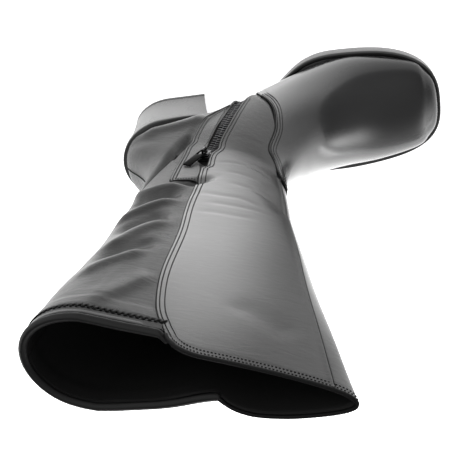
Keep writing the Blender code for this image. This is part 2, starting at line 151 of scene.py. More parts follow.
upperForm = {
    "toeAngles": (86, 78, 68, 56, 42), "toeHeight": 20.0, "toeSlope": 0.36,
    "toeTopFrom": 216.0, "toeTopPower": 2.2, "toeShape": (0.1, 1.0, 2.0, 6.0), "taperPower": 1.6,
    "rimStep": 17.0, "rimCorner": 20.0, "rimMedial": 0.51, "rimLateral": 0.37,
    "pinchGirth": 0.38, "pinchSpread": 0.12, "pinchDepth": 4.5, "pinchRows": 3.0,
    "turnUnder": 6.0, "heelRows": (11.2, 12.0), "featherSmooth": 12, "toeNose": 0.25, "innerFacing": 0.2,
    "rowSteps": 40, "girthSteps": 240, "turnSteps": 720,
}
sectionNames = (
    "frontStation", "frontSide", "frontHeight", "backStation", "backSide", "backHeight",
    "medial", "lateral", "widest", "frontShare", "frontPower", "backPower",
)
onSole = None
sections = [
    (201, 0, 51.5, 199, 0, onSole, 43.4, 42, 0.1, 1, 1.95, 8),
    (180, 0, 62.5, 176, 0, onSole, 45, 42.2, 0.1, 1, 1.9, 8),
    (160, 0, 77, 147, -1, onSole, 42.4, 40, 0.16, 1, 1.9, 8),
    (144, 0, 96, 118, -1.5, onSole, 37.6, 37, 0.20, 1, 1.95, 7),
    (133, 0, 117, 86, -0.5, onSole, 34.8, 33, 0.28, 1, 1.95, 7),
    (126, 0, 136, 50, 0, onSole, 32.4, 30.3, 0.36, 1, 2.0, 7),
    (123, 0, 151, 21, 0, onSole, 29.6, 29, 0.40, 1, 2.0, 6.5),
    (122, 0, 160, 4.4, 0, 77.5, 28.3, 28.3, 0.40, 1, 2.0, 3),
    (121.5, 0, 169, 8.5, 0, 92, 27.5, 28, 0.41, 1, 2.05, 2.7),
    (121.7, 0, 180, 20.5, 0.5, 118, 26.8, 27.5, 0.41, 1, 2.1, 2.5),
    (122.5, 0, 196, 20, 1.5, 154, 26.5, 27.5, 0.41, 0.97, 2.1, 2.4),
    (124.5, 0.2, 235, 11.2, 6, 216, 26.8, 27.5, 0.38, 0.90, 2.2, 2.3),
    (130, 0.6, 298, -1.2, 13, 284, 27.5, 28, 0.32, 0.74, 2.3, 2.2),
    (137.5, 1, 365, -15.4, 19, 344, 28.2, 28.5, 0.25, 0.63, 2.3, 2.1),
    (146, 1.5, 434, -25.5, 23, 402, 28, 28, 0.20, 0.6, 2.2, 2.05),
]


def allSections():
    found = []
    toeEnd = soleForm["length"] - soleForm["ledge"]
    for angle in upperForm["toeAngles"]:
        reach = math.sin(math.radians(angle)) ** (2 / soleForm["toePower"])
        station = soleForm["toeRoundFrom"] + (toeEnd - soleForm["toeRoundFrom"]) * reach
        base = float(soleTop(station)) + soleForm["seatGap"]
        past = max(0.0, (station - upperForm["toeTopFrom"]) / (toeEnd - upperForm["toeTopFrom"]))
        tall = upperForm["toeHeight"] + (toeEnd - station) * upperForm["toeSlope"]
        top = base + tall * float(roundEnd(past, upperForm["toeTopPower"]))
        halves = [float(soleHalf(station, side, soleForm["ledge"])) for side in ("medial", "lateral")]
        found.append((station, 0, top, station, 0, base, *halves, *upperForm["toeShape"]))
    for section in sections:
        height = section[5]
        if height is onSole:
            height = float(soleTop(section[3])) + soleForm["seatGap"]
        found.append((*section[:5], height, *section[6:]))
    return found


lastSections = allSections()
lastRow = len(lastSections) - 1
sectionCurves = {
    name: spline(range(lastRow + 1), [section[i] for section in lastSections])
    for i, name in enumerate(sectionNames)
}


def surfaceTable():
    rows = np.arange(lastRow * upperForm["rowSteps"] + 1) / upperForm["rowSteps"]
    at = {name: curve(rows)[:, None] for name, curve in sectionCurves.items()}
    ends = [[at[end + part] for part in ("Station", "Side", "Height")] for end in ("front", "back")]
    front, back = (np.stack(end, -1) for end in ends)
    turn = np.linspace(0, math.pi, upperForm["turnSteps"] + 1)[None, :]
    cosine, sine = np.cos(turn), np.clip(np.sin(turn), 0, 1)
    ahead = cosine > 0
    power = 2 / np.where(ahead, at["frontPower"], at["backPower"])
    reach = np.abs(cosine) ** power
    along = at["widest"] + np.where(ahead, (1 - at["widest"]) * reach, -at["widest"] * reach)
    free = 1 - np.where(ahead, reach, 0)
    taper = at["frontShare"] + (1 - at["frontShare"]) * free ** upperForm["taperPower"]
    even = np.linspace(0, 1, upperForm["girthSteps"] + 1)
    halves, runs = [], []
    for out in (at["medial"], -at["lateral"]):
        places = back + along[:, :, None] * (front - back)
        places[..., 1] += out * sine**power * taper
        lines = [(runOf(line), line) for line in places]
        halves.append(np.stack([resample(even * run[-1], run, line) for run, line in lines]))
        runs.append(np.array([run[-1] for run, _ in lines]))
    medial, lateral = halves
    near = hump(even - upperForm["pinchGirth"], upperForm["pinchSpread"])
    high = ease(1 - (lastRow - rows) / upperForm["pinchRows"])
    lateral[..., 1] += upperForm["pinchDepth"] * high[:, None] * near[None, :]
    places = np.concatenate([lateral[:, ::-1], medial[:, 1:]], axis=1)
    return rows, places, runs


tableRows, tablePlaces, halfRuns = surfaceTable()
tableNormals = np.cross(np.gradient(tablePlaces, axis=1), np.gradient(tablePlaces, axis=0))
tableNormals[:, 0] = tableNormals[:, -1] = tableNormals[:, 0] + tableNormals[:, -1]
tableNormals /= np.linalg.norm(tableNormals, axis=2)[..., None] + 1e-12
rowRun = np.linalg.norm(np.diff(tablePlaces, axis=0), axis=2).mean(axis=1)
rowRun = np.concatenate([[0], np.cumsum(rowRun)])
toeCentre = tablePlaces[0].mean(axis=0)


def surfaceAt(row, girth):
    row, girth = np.broadcast_arrays(np.asarray(row, float), np.asarray(girth, float))
    girth = np.where(girth > 1, girth - 2, np.where(girth < -1, girth + 2, girth))
    r = np.clip(row, 0, lastRow) * upperForm["rowSteps"]
    g = (girth + 1) * upperForm["girthSteps"]
    i = np.clip(r.astype(int), 0, tablePlaces.shape[0] - 2)
    j = np.clip(g.astype(int), 0, tablePlaces.shape[1] - 2)
    a, b = (r - i)[..., None], (g - j)[..., None]
    mixed = []
    for table in (tablePlaces, tableNormals):
        low = table[i, j] * (1 - b) + table[i, j + 1] * b
        high = table[i + 1, j] * (1 - b) + table[i + 1, j + 1] * b
        mixed.append(low * (1 - a) + high * a)
    places, normals = mixed
    nose = toeCentre + (upperForm["toeNose"], 0, 0)
    inToe = np.clip(-row, 0, 1)[..., None]
    places = places + (nose - places) * inToe
    normals = normals * (1 - inToe) + np.array((1.0, 0, 0)) * inToe
    return places, unit(normals)


def locate(station, height):
    # row and girth of a place on the inner side
    half = upperForm["girthSteps"]
    inner = tablePlaces[:, half:]
    miss = (inner[..., 0] - station) ** 2 + (inner[..., 2] - height) ** 2
    miss = np.where(tableNormals[:, half:, 1] > upperForm["innerFacing"], miss, 1e9)
    i, j = np.unravel_index(miss.argmin(), miss.shape)
    return tableRows[i], j / half


def rimRow(girth):
    girth = np.asarray(girth, float)
    top, _ = surfaceAt(lastRow, girth)
    below, _ = surfaceAt(lastRow - 1, girth)
    edge = np.where(girth >= 0, upperForm["rimMedial"], upperForm["rimLateral"])
    half = np.where(girth >= 0, halfRuns[0][-1], halfRuns[1][-1])
    share = np.clip((edge - np.abs(girth)) * half / upperForm["rimCorner"], 0, 1)
    drop = upperForm["rimStep"] * (1 - np.sqrt(1 - (1 - share) ** 2))
    return lastRow - drop / np.linalg.norm(top - below, axis=-1)


def featherGirths(side):
    # how far round each row of the foot goes before it turns under by a few millimetres
    half = upperForm["girthSteps"]
    heelFrom, heelTo = upperForm["heelRows"]
    places = tablePlaces[:, half:] if side > 0 else tablePlaces[:, half::-1]
    found = []
    for i, row in enumerate(tableRows):
        out = np.abs(places[i, :, 1] - places[i, -1, 1])
        widest = int(out.argmax())
        under = np.nonzero(out[widest:] < out[widest] - upperForm["turnUnder"])[0]
        at = (widest + under[0]) / half if len(under) else 1.0
        found.append(max(at, float(ramp(row, heelFrom, heelTo - heelFrom))))
    girths = blurred(found, upperForm["featherSmooth"])
    return lambda row: np.interp(row, tableRows, girths)


feather = {1: featherGirths(1), -1: featherGirths(-1)}
print("surface ready")


# Folds: a depth (negative stands up), the width to each side, points on the leather, and the share
# of the length over which each end fades

def smoothLine(points, count=28):
    points = np.asarray(points, float)
    run = runOf(points)
    at = np.linspace(0, run[-1], count)
    return np.stack([spline(run, column)(at) for column in points.T], -1)


def fold(depth, width, points, ends=(0.28, 0.28)):
    return {"depth": depth, "width": width, "line": smoothLine(points), "ends": ends}


folds = [
    fold(6.2, (3.0, 4.2), [(14, 10, 186), (25, 19, 166), (35, 23, 148), (45, 26, 131), (53, 28, 114),
         (58, 30, 101)], (0.06, 0.2)),
    fold(2.6, (1.7, 2.4), [(12, 8, 190), (20, 15, 175), (29, 20, 159), (38, 24, 143)], (0.06, 0.4)),
    fold(-2.6, (6.0, 8.0), [(18, 26, 84), (32, 29.5, 86), (46, 31, 86), (60, 31, 83), (74, 30, 77)],
         (0.2, 0.2)),
    fold(3.6, (3.5, 4.5), [(46, 28, 190), (54, 29, 195), (62, 28, 195), (69, 27, 191), (77, 26, 186)]),
    fold(-3.4, (5.0, 4.0), [(20, 18, 184), (34, 27, 199), (43, 29, 199), (52, 29, 201), (61, 29, 204)]),
    fold(4.2, (6.0, 7.0), [(16, 24, 206), (30, 29, 214), (44, 31, 215), (58, 30, 217)]),
    fold(-3.4, (4.0, 6.5), [(12, 22, 246), (24, 31, 242), (36, 31, 236), (46, 32, 231), (57, 30, 227)]),
    fold(4.2, (8.0, 8.0), [(14, 28, 268), (26, 34, 262), (38, 34, 254), (50, 32, 246)]),
    fold(-3.2, (4.5, 8.0), [(8, 30, 304), (20, 37, 295), (32, 37, 281), (44, 34, 270), (54, 32, 260)]),
    fold(3.6, (7.0, 7.0), [(8, 38, 322), (20, 40, 313), (34, 38, 302), (46, 35, 289)]),
    fold(-2.8, (4.5, 8.0), [(4, 38, 345), (14, 41, 332), (28, 40, 320), (42, 37, 306)]),
    fold(-2.2, (5.0, 9.0), [(14, 43, 380), (24, 42, 368), (36, 39, 352), (47, 36, 336)]),
    fold(0.36, (2.1, 2.9), [(62, 29, 216), (71, 28, 216), (81, 26, 219), (92, 23, 221), (103, 20, 227),
         (113, 15, 231)]),
    fold(0.32, (2.0, 2.7), [(67, 29, 230), (80, 27, 232), (95, 23, 235), (106, 19, 237), (115, 14, 240)]),
    fold(0.28, (2.2, 3.2), [(62, 30, 245), (77, 27, 246), (92, 23, 249), (104, 19, 250)]),
    fold(0.14, (1.8, 2.6), [(77, 26, 134), (87, 24, 135), (97, 22, 138), (105, 19, 143), (111, 15, 151)]),
    fold(0.4, (2.0, 2.9), [(75, 26, 160), (85, 25, 160), (95, 23, 162), (106, 19, 168), (113, 14, 178)]),
    fold(0.32, (1.8, 2.4), [(86, 27, 118), (94, 25, 120), (102, 23, 124), (110, 20, 130)]),
    fold(0.36, (2.1, 2.9), [(80, 25, 176), (92, 23, 179), (103, 19, 185), (112, 14, 193)]),
    fold(0.4, (2.2, 3.2), [(82, 25, 196), (94, 22, 200), (105, 19, 206), (114, 14, 213)]),
    fold(1.4, (9.0, 9.0), [(106, 19, 184), (111, 16, 200), (115, 14, 214), (119, 11, 232)]),
    fold(1.1, (6.5, 12.0), [(82, 25, 360), (92, 23, 366), (101, 21, 373), (110, 18, 383), (118, 15, 394)]),
    fold(2.6, (6.0, 8.0), [(24, -24, 166), (36, -25, 148), (48, -27, 130), (60, -29, 110)]),
    fold(-2.2, (5.0, 6.0), [(20, -20, 190), (38, -27, 204), (56, -28, 208)]),
    fold(2.0, (6.0, 7.0), [(16, -18, 214), (36, -25, 224), (60, -27, 226)]),
    fold(-1.8, (6.0, 7.0), [(10, -14, 250), (32, -21, 246), (58, -25, 240)]),
    fold(-1.5, (7.0, 8.0), [(0, -8, 300), (26, -16, 292), (56, -22, 276)]),
    fold(0.9, (3.0, 4.0), [(70, -26, 206), (92, -22, 214), (108, -17, 222)]),
    fold(0.8, (3.0, 4.0), [(72, -26, 232), (92, -22, 238), (110, -16, 244)]),
    fold(0.9, (3.0, 4.0), [(80, -26, 150), (98, -23, 156), (110, -17, 166)]),
]
slackForm = {"from": 130.0, "over": 90.0, "depth": 0.22, "waves": ((17, 29, 0.0), (31, -14, 1.3))}
foldTail = 0.08  # what is left of a fold at its ends


def relief(places, normals):
    lift = np.zeros(len(places))
    for crease in folds:
        line = crease["line"]
        wide = 3 * max(crease["width"])
        box = (places > line.min(axis=0) - wide) & (places < line.max(axis=0) + wide)
        near = np.nonzero(box.all(axis=1))[0]
        if not len(near):
            continue
        p, n = places[near], normals[near]
        best = np.full(len(near), 1e9)
        across, share = np.zeros(len(near)), np.zeros(len(near))
        last = len(line) - 1
        for k in range(last):
            run = line[k + 1] - line[k]
            t = np.clip(((p - line[k]) @ run) / (run @ run), 0, 1)
            away = p - line[k] - t[:, None] * run
            far = np.linalg.norm(away, axis=1)
            side = np.sign(np.sum(np.cross(n, run) * away, axis=1))
            closer = far < best
            best = np.where(closer, far, best)
            across = np.where(closer, far * side, across)
            share = np.where(closer, (k + t) / last, share)
        form = hump(across, np.where(across < 0, *crease["width"]))
        start, end = crease["ends"]
        fade = ease(share / start) * ease((1 - share) / end) * (1 - foldTail) + foldTail
        lift[near] -= crease["depth"] * form * fade
    x, z = places[:, 0], places[:, 2]
    slow = sum(np.sin(z / tall + x / long + start) for tall, long, start in slackForm["waves"])
    return lift + slackForm["depth"] * ramp(z, slackForm["from"], slackForm["over"]) * slow


# Materials

def nodeGroup(name, inputs, outputs):
    group = bpy.data.node_groups.new(name, "ShaderNodeTree")
    for label, value in inputs.items():
        kind = "NodeSocketFloat" if isinstance(value, float) else "NodeSocketVector"
        group.interface.new_socket(name=label, in_out="INPUT", socket_type=kind).default_value = value
    for label in outputs:
        group.interface.new_socket(name=label, in_out="OUTPUT", socket_type="NodeSocketFloat")
    return group, group.nodes.new("NodeGroupInput").outputs, group.nodes.new("NodeGroupOutput").inputs


def addNode(tree, kind, sockets=None, **values):
    # each socket is linked to another node's socket or set to a value
    node = tree.nodes.new(kind)
    for key, value in values.items():
        setattr(node, key, value)
    for key, value in (sockets or {}).items():
        if isinstance(value, bpy.types.NodeSocket):
            tree.links.new(value, node.inputs[key])
        else:
            node.inputs[key].default_value = value
    return node


def mathNode(tree, operation, first, second):
    return addNode(tree, "ShaderNodeMath", {0: first, 1: second}, operation=operation).outputs[0]


def vectorNode(tree, operation, *values):
    return addNode(tree, "ShaderNodeVectorMath", dict(enumerate(values)), operation=operation).outputs


def groupNode(tree, group, **sockets):
    return addNode(tree, "ShaderNodeGroup", sockets, node_tree=group).outputs


def grainGroup():
    group, given, result = nodeGroup(
        "leatherGrain", {"Vector": (0, 0, 0), "Pebble": 950.0}, ("Height", "Tone"))
    cells = addNode(group, "ShaderNodeTexVoronoi", {"Vector": given["Vector"], "Scale": given["Pebble"]},
                    feature="DISTANCE_TO_EDGE")
    pebbles = addNode(group, "ShaderNodeMapRange", {"Value": cells.outputs["Distance"], "From Max": 0.22})
    cloud = addNode(group, "ShaderNodeTexNoise", {"Vector": given["Vector"], "Scale": 260, "Detail": 4})
    wide = addNode(group, "ShaderNodeTexNoise", {"Vector": given["Vector"], "Scale": 38, "Detail": 3})
    fine = mathNode(group, "MULTIPLY", pebbles.outputs[0], 0.5)
    slow = mathNode(group, "MULTIPLY", cloud.outputs["Fac"], 0.8)
    group.links.new(mathNode(group, "ADD", fine, slow), result["Height"])
    group.links.new(wide.outputs["Fac"], result["Tone"])
    return group


def wrinkleGroup():
    # fine lines across the leg, where the leather has been bent
    group, given, result = nodeGroup(
        "fineWrinkles", {"Vector": (0, 0, 0), "Along": 75.0, "Across": 200.0}, ("Height",))
    stretch = addNode(group, "ShaderNodeCombineXYZ", {"X": given["Along"], "Y": given["Across"]})
    scaled = vectorNode(group, "MULTIPLY", given["Vector"], stretch.outputs[0])
    lines = addNode(group, "ShaderNodeTexNoise",
                    {"Vector": scaled[0], "Scale": 1, "Detail": 3, "Distortion": 1.2})
    group.links.new(lines.outputs["Fac"], result["Height"])
    return group


def paintedSheenGroup():
    # painted sheen: one inside a zone, falling to nothing around it; it sets where the coat reflects
    # strongly or weakly
    group, given, result = nodeGroup(
        "paintedSheen", {"Vector": (0, 0, 0), "Centre": (0, 0, 0), "Size": (1, 1, 1)}, ("Value",))
    moved = vectorNode(group, "SUBTRACT", given["Vector"], given["Centre"])
    sized = vectorNode(group, "DIVIDE", moved[0], given["Size"])
    far = vectorNode(group, "LENGTH", sized[0])
    fade = addNode(group, "ShaderNodeMapRange",
                   {"Value": far["Value"], "From Min": 0.3, "From Max": 1.2, "To Min": 1.0, "To Max": 0.0},
                   interpolation_type="SMOOTHSTEP")
    group.links.new(fade.outputs[0], result["Value"])
    return group


grain = grainGroup()
paintedSheen = paintedSheenGroup()
wrinkles = wrinkleGroup()
roughVary = 0.05
shaderValues = (
    ("Roughness", "rough", 0.5), ("Metallic", "metal", 0.0), ("IOR", "ior", 1.5),
    ("Coat Weight", "coat", 0.0), ("Coat Roughness", "coatRough", 0.2), ("Coat IOR", "coatIor", 1.5),
    ("Emission Strength", "glow", 0.0),
)


def addSkin(tree, shader, look):
    place = addNode(tree, "ShaderNodeTexCoord").outputs
    skin = groupNode(tree, grain, Vector=place["Object"], Pebble=look.get("pebble", 950.0))
    height = mathNode(tree, "MULTIPLY", skin["Height"], look["grain"])
    if "wrinkle" in look:
        lines = groupNode(tree, wrinkles, Vector=place["UV"])
        height = mathNode(tree, "ADD", height, mathNode(tree, "MULTIPLY", lines["Height"], look["wrinkle"]))
    gloss = None
    for centre, size, around, inside in look.get("sheenZones", ()):
        # the coat's weight around a zone and inside it, painting sheen or shade by place
        shine = groupNode(tree, paintedSheen, Vector=place["Object"], Centre=centre, Size=size)
        coat = addNode(tree, "ShaderNodeMapRange",
                       {"Value": shine["Value"], "To Min": around, "To Max": inside}).outputs[0]
        gloss = mathNode(tree, "MULTIPLY", coat, gloss) if gloss else coat
    if gloss:
        tree.links.new(gloss, shader["Coat Weight"])
    bump = addNode(tree, "ShaderNodeBump", {"Strength": 1.0, "Distance": mm, "Height": height})
    tree.links.new(bump.outputs["Normal"], shader["Normal"])
    low, high = look["rough"] - roughVary, look["rough"] + roughVary
    spread = addNode(tree, "ShaderNodeMapRange", {"Value": skin["Tone"], "To Min": low, "To Max": high})
    tree.links.new(spread.outputs[0], shader["Roughness"])


def makeFinish(name, look):
    made = bpy.data.materials.new(name)
    made.use_nodes = True
    shader = made.node_tree.nodes["Principled BSDF"].inputs
    shader["Base Color"].default_value = (*np.broadcast_to(look["colour"], 3), 1)
    for socket, key, usual in shaderValues:
        shader[socket].default_value = look.get(key, usual)
    if "grain" in look:
        addSkin(made.node_tree, shader, look)
    return made


frontLook = {
    "colour": (0.008, 0.0078, 0.0078), "rough": 0.33, "ior": 1.28, "coat": 1.0, "coatRough": 0.29,
    "grain": 0.07, "wrinkle": 0.17,
}
looks = {
    "vampLeather": {
        "colour": (0.02, 0.02, 0.0203), "rough": 0.22, "ior": 1.25, "coat": 1.0, "coatRough": 0.16,
        "grain": 0.05,
        # painted shade: the coat is dulled in zones on the vamp and over the toe's top, so they reflect
        # less
        "sheenZones": [((0.105, 0.02, 0.1), (0.065, 0.016, 0.07), 1.0, 0.1),
                  ((0.185, 0.022, 0.035), (0.065, 0.05, 0.05), 1.0, 0.15)],
    },
    # painted highlight: on each front panel the coat is full only in a zone in its middle, brightening the
    # reflection there against darker edges
    "frontLeather": {
        **frontLook, "coatIor": 1.68, "sheenZones": [((0.028, 0, 0.27), (0.049, 1, 0.165), 0.1, 1.0)],
    },
    "frontOuterLeather": {
        **frontLook, "coatIor": 2.0, "sheenZones": [((0.085, -0.005, 0.25), (0.05, 0.05, 0.14), 0.1, 1.0)],
    },
    "placketLeather": {
        "colour": 0.007, "rough": 0.3, "ior": 1.37, "coat": 0.15, "coatRough": 0.25, "grain": 0.09,
        "wrinkle": 0.2,
    },
    "backLeather": {"colour": 0.006, "rough": 0.29, "ior": 1.36, "grain": 0.1, "wrinkle": 0.2},
    "bindingLeather": {"colour": 0.004, "rough": 0.4, "ior": 1.27, "grain": 0.08},
    # dark cut edges and seams, also used as painted shadow on the feather cord and the edge cords
    "edgeAndShadeBlack": {"colour": 0.003, "rough": 0.6, "ior": 1.2, "grain": 0.1},
    "liningCloth": {"colour": 0.006, "rough": 0.8, "ior": 1.25, "grain": 0.12, "pebble": 1500.0},
    "insoleCloth": {"colour": 0.008, "rough": 0.6, "grain": 0.1},
    "soleRubber": {
        "colour": 0.04, "rough": 0.34, "ior": 1.42, "coat": 0.1, "coatRough": 0.3, "grain": 0.05,
        "pebble": 1400.0,
    },
    "heelCover": {"colour": 0.008, "rough": 0.26, "ior": 1.33, "grain": 0.02},
    "topPieceRubber": {"colour": 0.006, "rough": 0.5, "grain": 0.06},
    "zipTape": {"colour": 0.004, "rough": 0.7, "ior": 1.25, "grain": 0.1, "pebble": 2200.0},
    "blackThread": {"colour": 0.003, "rough": 0.6, "ior": 1.2},
    "darkTeeth": {"colour": (0.05, 0.05, 0.052), "rough": 0.3, "metal": 1.0},
    "darkMetal": {"colour": (0.025, 0.025, 0.026), "rough": 0.2, "metal": 1.0},
    "darkPull": {"colour": 0.004, "rough": 0.3, "ior": 1.06},
    "paleFloor": {"colour": 0.94, "rough": 0.9, "glow": 0.85},
}
finishes = {name: makeFinish(name, look) for name, look in looks.items()}
print("materials ready")


# Pieces

def world(places):
    moved = np.array(places, float)
    moved[..., 0] -= soleForm["baseStation"]
    return moved * mm


def addPiece(name, mesh, finish, node, body="boot"):
    piece = bpy.data.objects.new(name, mesh)
    bpy.context.scene.collection.objects.link(piece)
    mesh.materials.append(finishes[finish])
    mesh.shade_smooth()
    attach(piece, body)
    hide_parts(node)
    return piece


def addWall(piece, thick):
    wall = piece.modifiers.new("thickness", "SOLIDIFY")
    wall.thickness = thick * mm
    wall.offset = -1
    return wall


def meshOf(name, bm):
    mesh = bpy.data.meshes.new(name)
    bm.to_mesh(mesh)
    bm.free()
    return mesh


def gridMesh(name, across, along, place, weld=False, uv=None):
    # place turns counts across and along into positions in millimetres
    bm = bmesh.new()
    bmesh.ops.create_grid(bm, x_segments=across, y_segments=along, size=0.5)
    mesh = meshOf(name, bm)
    flat = np.empty(len(mesh.vertices) * 3)
    mesh.vertices.foreach_get("co", flat)
    flat = flat.reshape(-1, 3)
    i = np.rint((flat[:, 0] + 0.5) * across).astype(int)
    j = np.rint((flat[:, 1] + 0.5) * along).astype(int)
    mesh.vertices.foreach_set("co", world(place(i, j)).ravel())
    if uv is not None:
        corner = np.empty(len(mesh.loops), int)
        mesh.loops.foreach_get("vertex_index", corner)
        layer = mesh.uv_layers.new(name="skin")
        layer.data.foreach_set("uv", (uv(i, j)[corner] * mm).ravel())
    mesh.update()
    if weld:
        bm = bmesh.new()
        bm.from_mesh(mesh)
        bmesh.ops.remove_doubles(bm, verts=bm.verts, dist=2e-6)
        bmesh.ops.recalc_face_normals(bm, faces=bm.faces)
        bm.to_mesh(mesh)
        bm.free()
    return mesh


def edgeLines(count, close=8, power=1.5):
    # even shares, drawn together at both ends
    shares = np.linspace(0, 1, count + 1)
    for k in range(1, close):
        shares[k] = shares[close] * (k / close) ** power
        shares[count - k] = 1 - shares[k]
    return shares


def roundedEdge(away, radius=0.55):
    short = np.clip(1 - away / radius, 0, 1)
    return radius * (1 - np.sqrt(1 - short**2))


sewnForm = {"depth": 0.3, "width": 0.75}
skinGirth = 180  # millimetres on the skin's map for half a girth


def leatherPanel(name, form):
    across, along = form["grid"]
    shareU, shareV = edgeLines(across), edgeLines(along)

    def rowGirth(i, j):
        u, v = shareU[i], shareV[j]
        low = np.interp(form["low"](u), tableRows, rowRun)
        high = np.interp(form["high"](u), tableRows, rowRun)
        run = low + v * (high - low)
        row = np.interp(run, rowRun, tableRows)
        if "toeCap" in form:
            row = np.where(j < form["toeCap"], j / form["toeCap"] - 1, row)
        left, right = form["left"](row), form["right"](row)
        girth = left + u * (right - left)
        half = np.where(girth >= 0, *(np.interp(row, tableRows, runs) for runs in halfRuns))
        return u, v, row, girth, run, high - low, np.abs(right - left) * half

    def place(i, j):
        u, v, row, girth, run, tall, wide = rowGirth(i, j)
        places, normals = surfaceAt(row, girth)
        away = {"left": u * wide, "right": (1 - u) * wide, "low": v * tall, "high": (1 - v) * tall}
        lift = relief(places, normals) + form["layer"](away, row)
        for side in form["edges"]:
            lift -= roundedEdge(away[side])
        for side, distance in form.get("sewn", ()):
            lift -= sewnForm["depth"] * hump(away[side] - distance, sewnForm["width"])
        return places + normals * lift[:, None]

    def uv(i, j):
        girth, run = rowGirth(i, j)[3:5]
        return np.stack([girth * skinGirth, run], -1)

    mesh = gridMesh(name, across, along, place, uv=uv)
    piece = addPiece(name, mesh, form["finish"], "upper")
    mesh.materials.append(finishes["edgeAndShadeBlack"])
    addWall(piece, form["thick"]).material_offset_rim = 1


def lineOf(points):
    # a line of rows and girths through places on the inner side
    return np.array([locate(*at) for at in points])


zipForm = {
    "foot": (96.0, 54.0), "top": (67.2, 151.0), "front": 3.6, "back": 4.4, "under": 0.8,
    "step": (70.2, 165.0), "stepRows": 0.14,
    "tapeWidth": 11.0, "tapeDepths": (-0.75, -1.35), "tapeRound": 0.15, "tapeSteps": 60,
    "toothPitch": 1.5, "toothSize": (0.85, 3.4, 1.0), "toothOut": 1.4, "toothShift": 0.4, "toothSunk": 0.2,
    "toothFrom": 6.0, "toothStop": 10.0,
    "slider": (9.0, 7.6, 2.6), "plates": (0.8, 1.0), "wedge": (2.5, 1.2, 0.4), "sliderRound": 0.28,
    "archFront": 4.0, "archBack": -3.0, "archWidth": 1.6, "archClear": 2.6, "archBar": 1.2, "archSunk": 0.3,
    "pullLength": 20.0, "pullWidth": 6.4, "pullThick": 1.1, "pullBar": 1.2, "window": (4.8, 4.6),
    "windowLap": 0.6, "pullRound": 0.25, "pullTurn": -21.5, "pullLean": 8.0, "pullAxis": (0.5, 1.45),
}
zipFoot, zipTop = np.array(zipForm["foot"]), np.array(zipForm["top"])
zipAlong = (zipTop - zipFoot) / np.linalg.norm(zipTop - zipFoot)
zipAcross = np.array([zipAlong[1], -zipAlong[0]])


def zipAt(share, out=0.0):
    return zipFoot + (zipTop - zipFoot) * share + zipAcross * out


def zipLine(out, start=0.0, end=1.0, count=9):
    return lineOf([zipAt(share, out) for share in np.linspace(start, end, count)])


def byRow(knots, least=0.04):
    # a girth for each row, without the knots that lie too close
    knots = np.array(sorted(knots, key=lambda knot: knot[0]))
    knots = knots[np.concatenate([[True], np.diff(knots[:, 0]) > least])]
    curve = spline(knots[:, 0], knots[:, 1])
    return lambda row: curve(np.clip(row, knots[0, 0], knots[-1, 0]))


seamAbove = byRow([
    *lineOf([(68.8, 150), (67.6, 160), (66.5, 171), (64.8, 190), (61.4, 217), (58.9, 241)]),
    (16.7, 0.548), (17.65, 0.56), (18.2, 0.553), (18.5, 0.538), (18.75, 0.514), (19, 0.51),
])
zipSide = byRow([
    (8.2, 0.7), *zipLine(zipForm["front"], 0.02, 0.97), *lineOf([(71.2, 157), (70.2, 165), (69.4, 172)]),
])
stepRow = locate(*zipForm["step"])[0]


def frontEdge(row):
    # beside the zip, then a step back to the seam above it
    stepped = ramp(np.asarray(row, float), stepRow, zipForm["stepRows"])
    return zipSide(row) * (1 - stepped) + seamAbove(row) * stepped


zipBackEdge = byRow([
    *zipLine(-zipForm["back"] - zipForm["under"]), (15.0, 0.468), (15.5, 0.478), (16.7, 0.515),
    (17.65, 0.527), (18.3, 0.52), (19, 0.48),
])
lateralEdge = byRow([
    (8.2, -0.66), (9, -0.55), (10, -0.49), (12, -0.46), (14, -0.46), (16, -0.49), (17.5, -0.47),
    (18.4, -0.41), (19, -0.37),
])
centreSeam = byRow([
    (8, 0.03), (12, 0.05), (14.2, 0.062), (16.3, 0.055), (17.3, 0.06), (18.1, 0.064), (19, 0.072),
])
vampKnots = lineOf([
    (111, 54), (115.6, 64), (118.8, 75), (120.2, 85), (120, 95), (118.2, 108), (115.2, 120), (113, 129.4),
    (114, 136.8), (116, 145.6), (118, 154.8),
])
vampKnots = sorted([(1.0, 8.1), *[(girth, row) for row, girth in vampKnots], (0.0, 12.5)])
vampCurve = spline([k[0] for k in vampKnots], [k[1] for k in vampKnots])
lineForm = {
    "vampRows": (8.15, 12.4), "vampTip": 0.03, "vampGirth": 0.62, "frontRows": (8.75, 18.74),
    "backFrom": 11.6, "centreTop": 18.97, "gatherEnds": (0.012, 0.02), "placketFoot": 0.15,
}


def vampRow(girth):
    return np.clip(vampCurve(np.hypot(girth, lineForm["vampTip"])), *lineForm["vampRows"])


def shifted(line, away, rowStep=0.02, girthStep=0.004):
    # the same line, moved along the leather
    rows, girths = line.T
    places, normals = surfaceAt(rows, girths)
    side = np.cross(normals, unit(np.gradient(places, axis=0))) * away
    above = np.minimum(rows + rowStep, lastRow)
    byRows = (surfaceAt(above, girths)[0] - surfaceAt(above - 2 * rowStep, girths)[0]) / (2 * rowStep)
    ahead, behind = (surfaceAt(rows, girths + step)[0] for step in (girthStep, -girthStep))
    byGirths = (ahead - behind) / (2 * girthStep)
    pairs = ((byRows, byRows), (byRows, byGirths), (byGirths, byGirths), (byRows, side), (byGirths, side))
    a, b, c, d, e = (np.sum(x * y, axis=1) for x, y in pairs)
    whole = a * c - b * b + 1e-9
    return np.stack([rows + (c * d - b * e) / whole, girths + (a * e - b * d) / whole], -1)


def rimGirths():
    # closer together where the rim's corners turn
    turn = 1 - np.cos(np.linspace(0.02, math.pi / 2, 40))
    inner = upperForm["rimMedial"] - turn * upperForm["rimCorner"] / halfRuns[0][-1]
    outer = turn * upperForm["rimCorner"] / halfRuns[1][-1] - upperForm["rimLateral"]
    return np.concatenate([inner, np.linspace(inner[-1], outer[-1], 90)[1:-1], outer[::-1]])


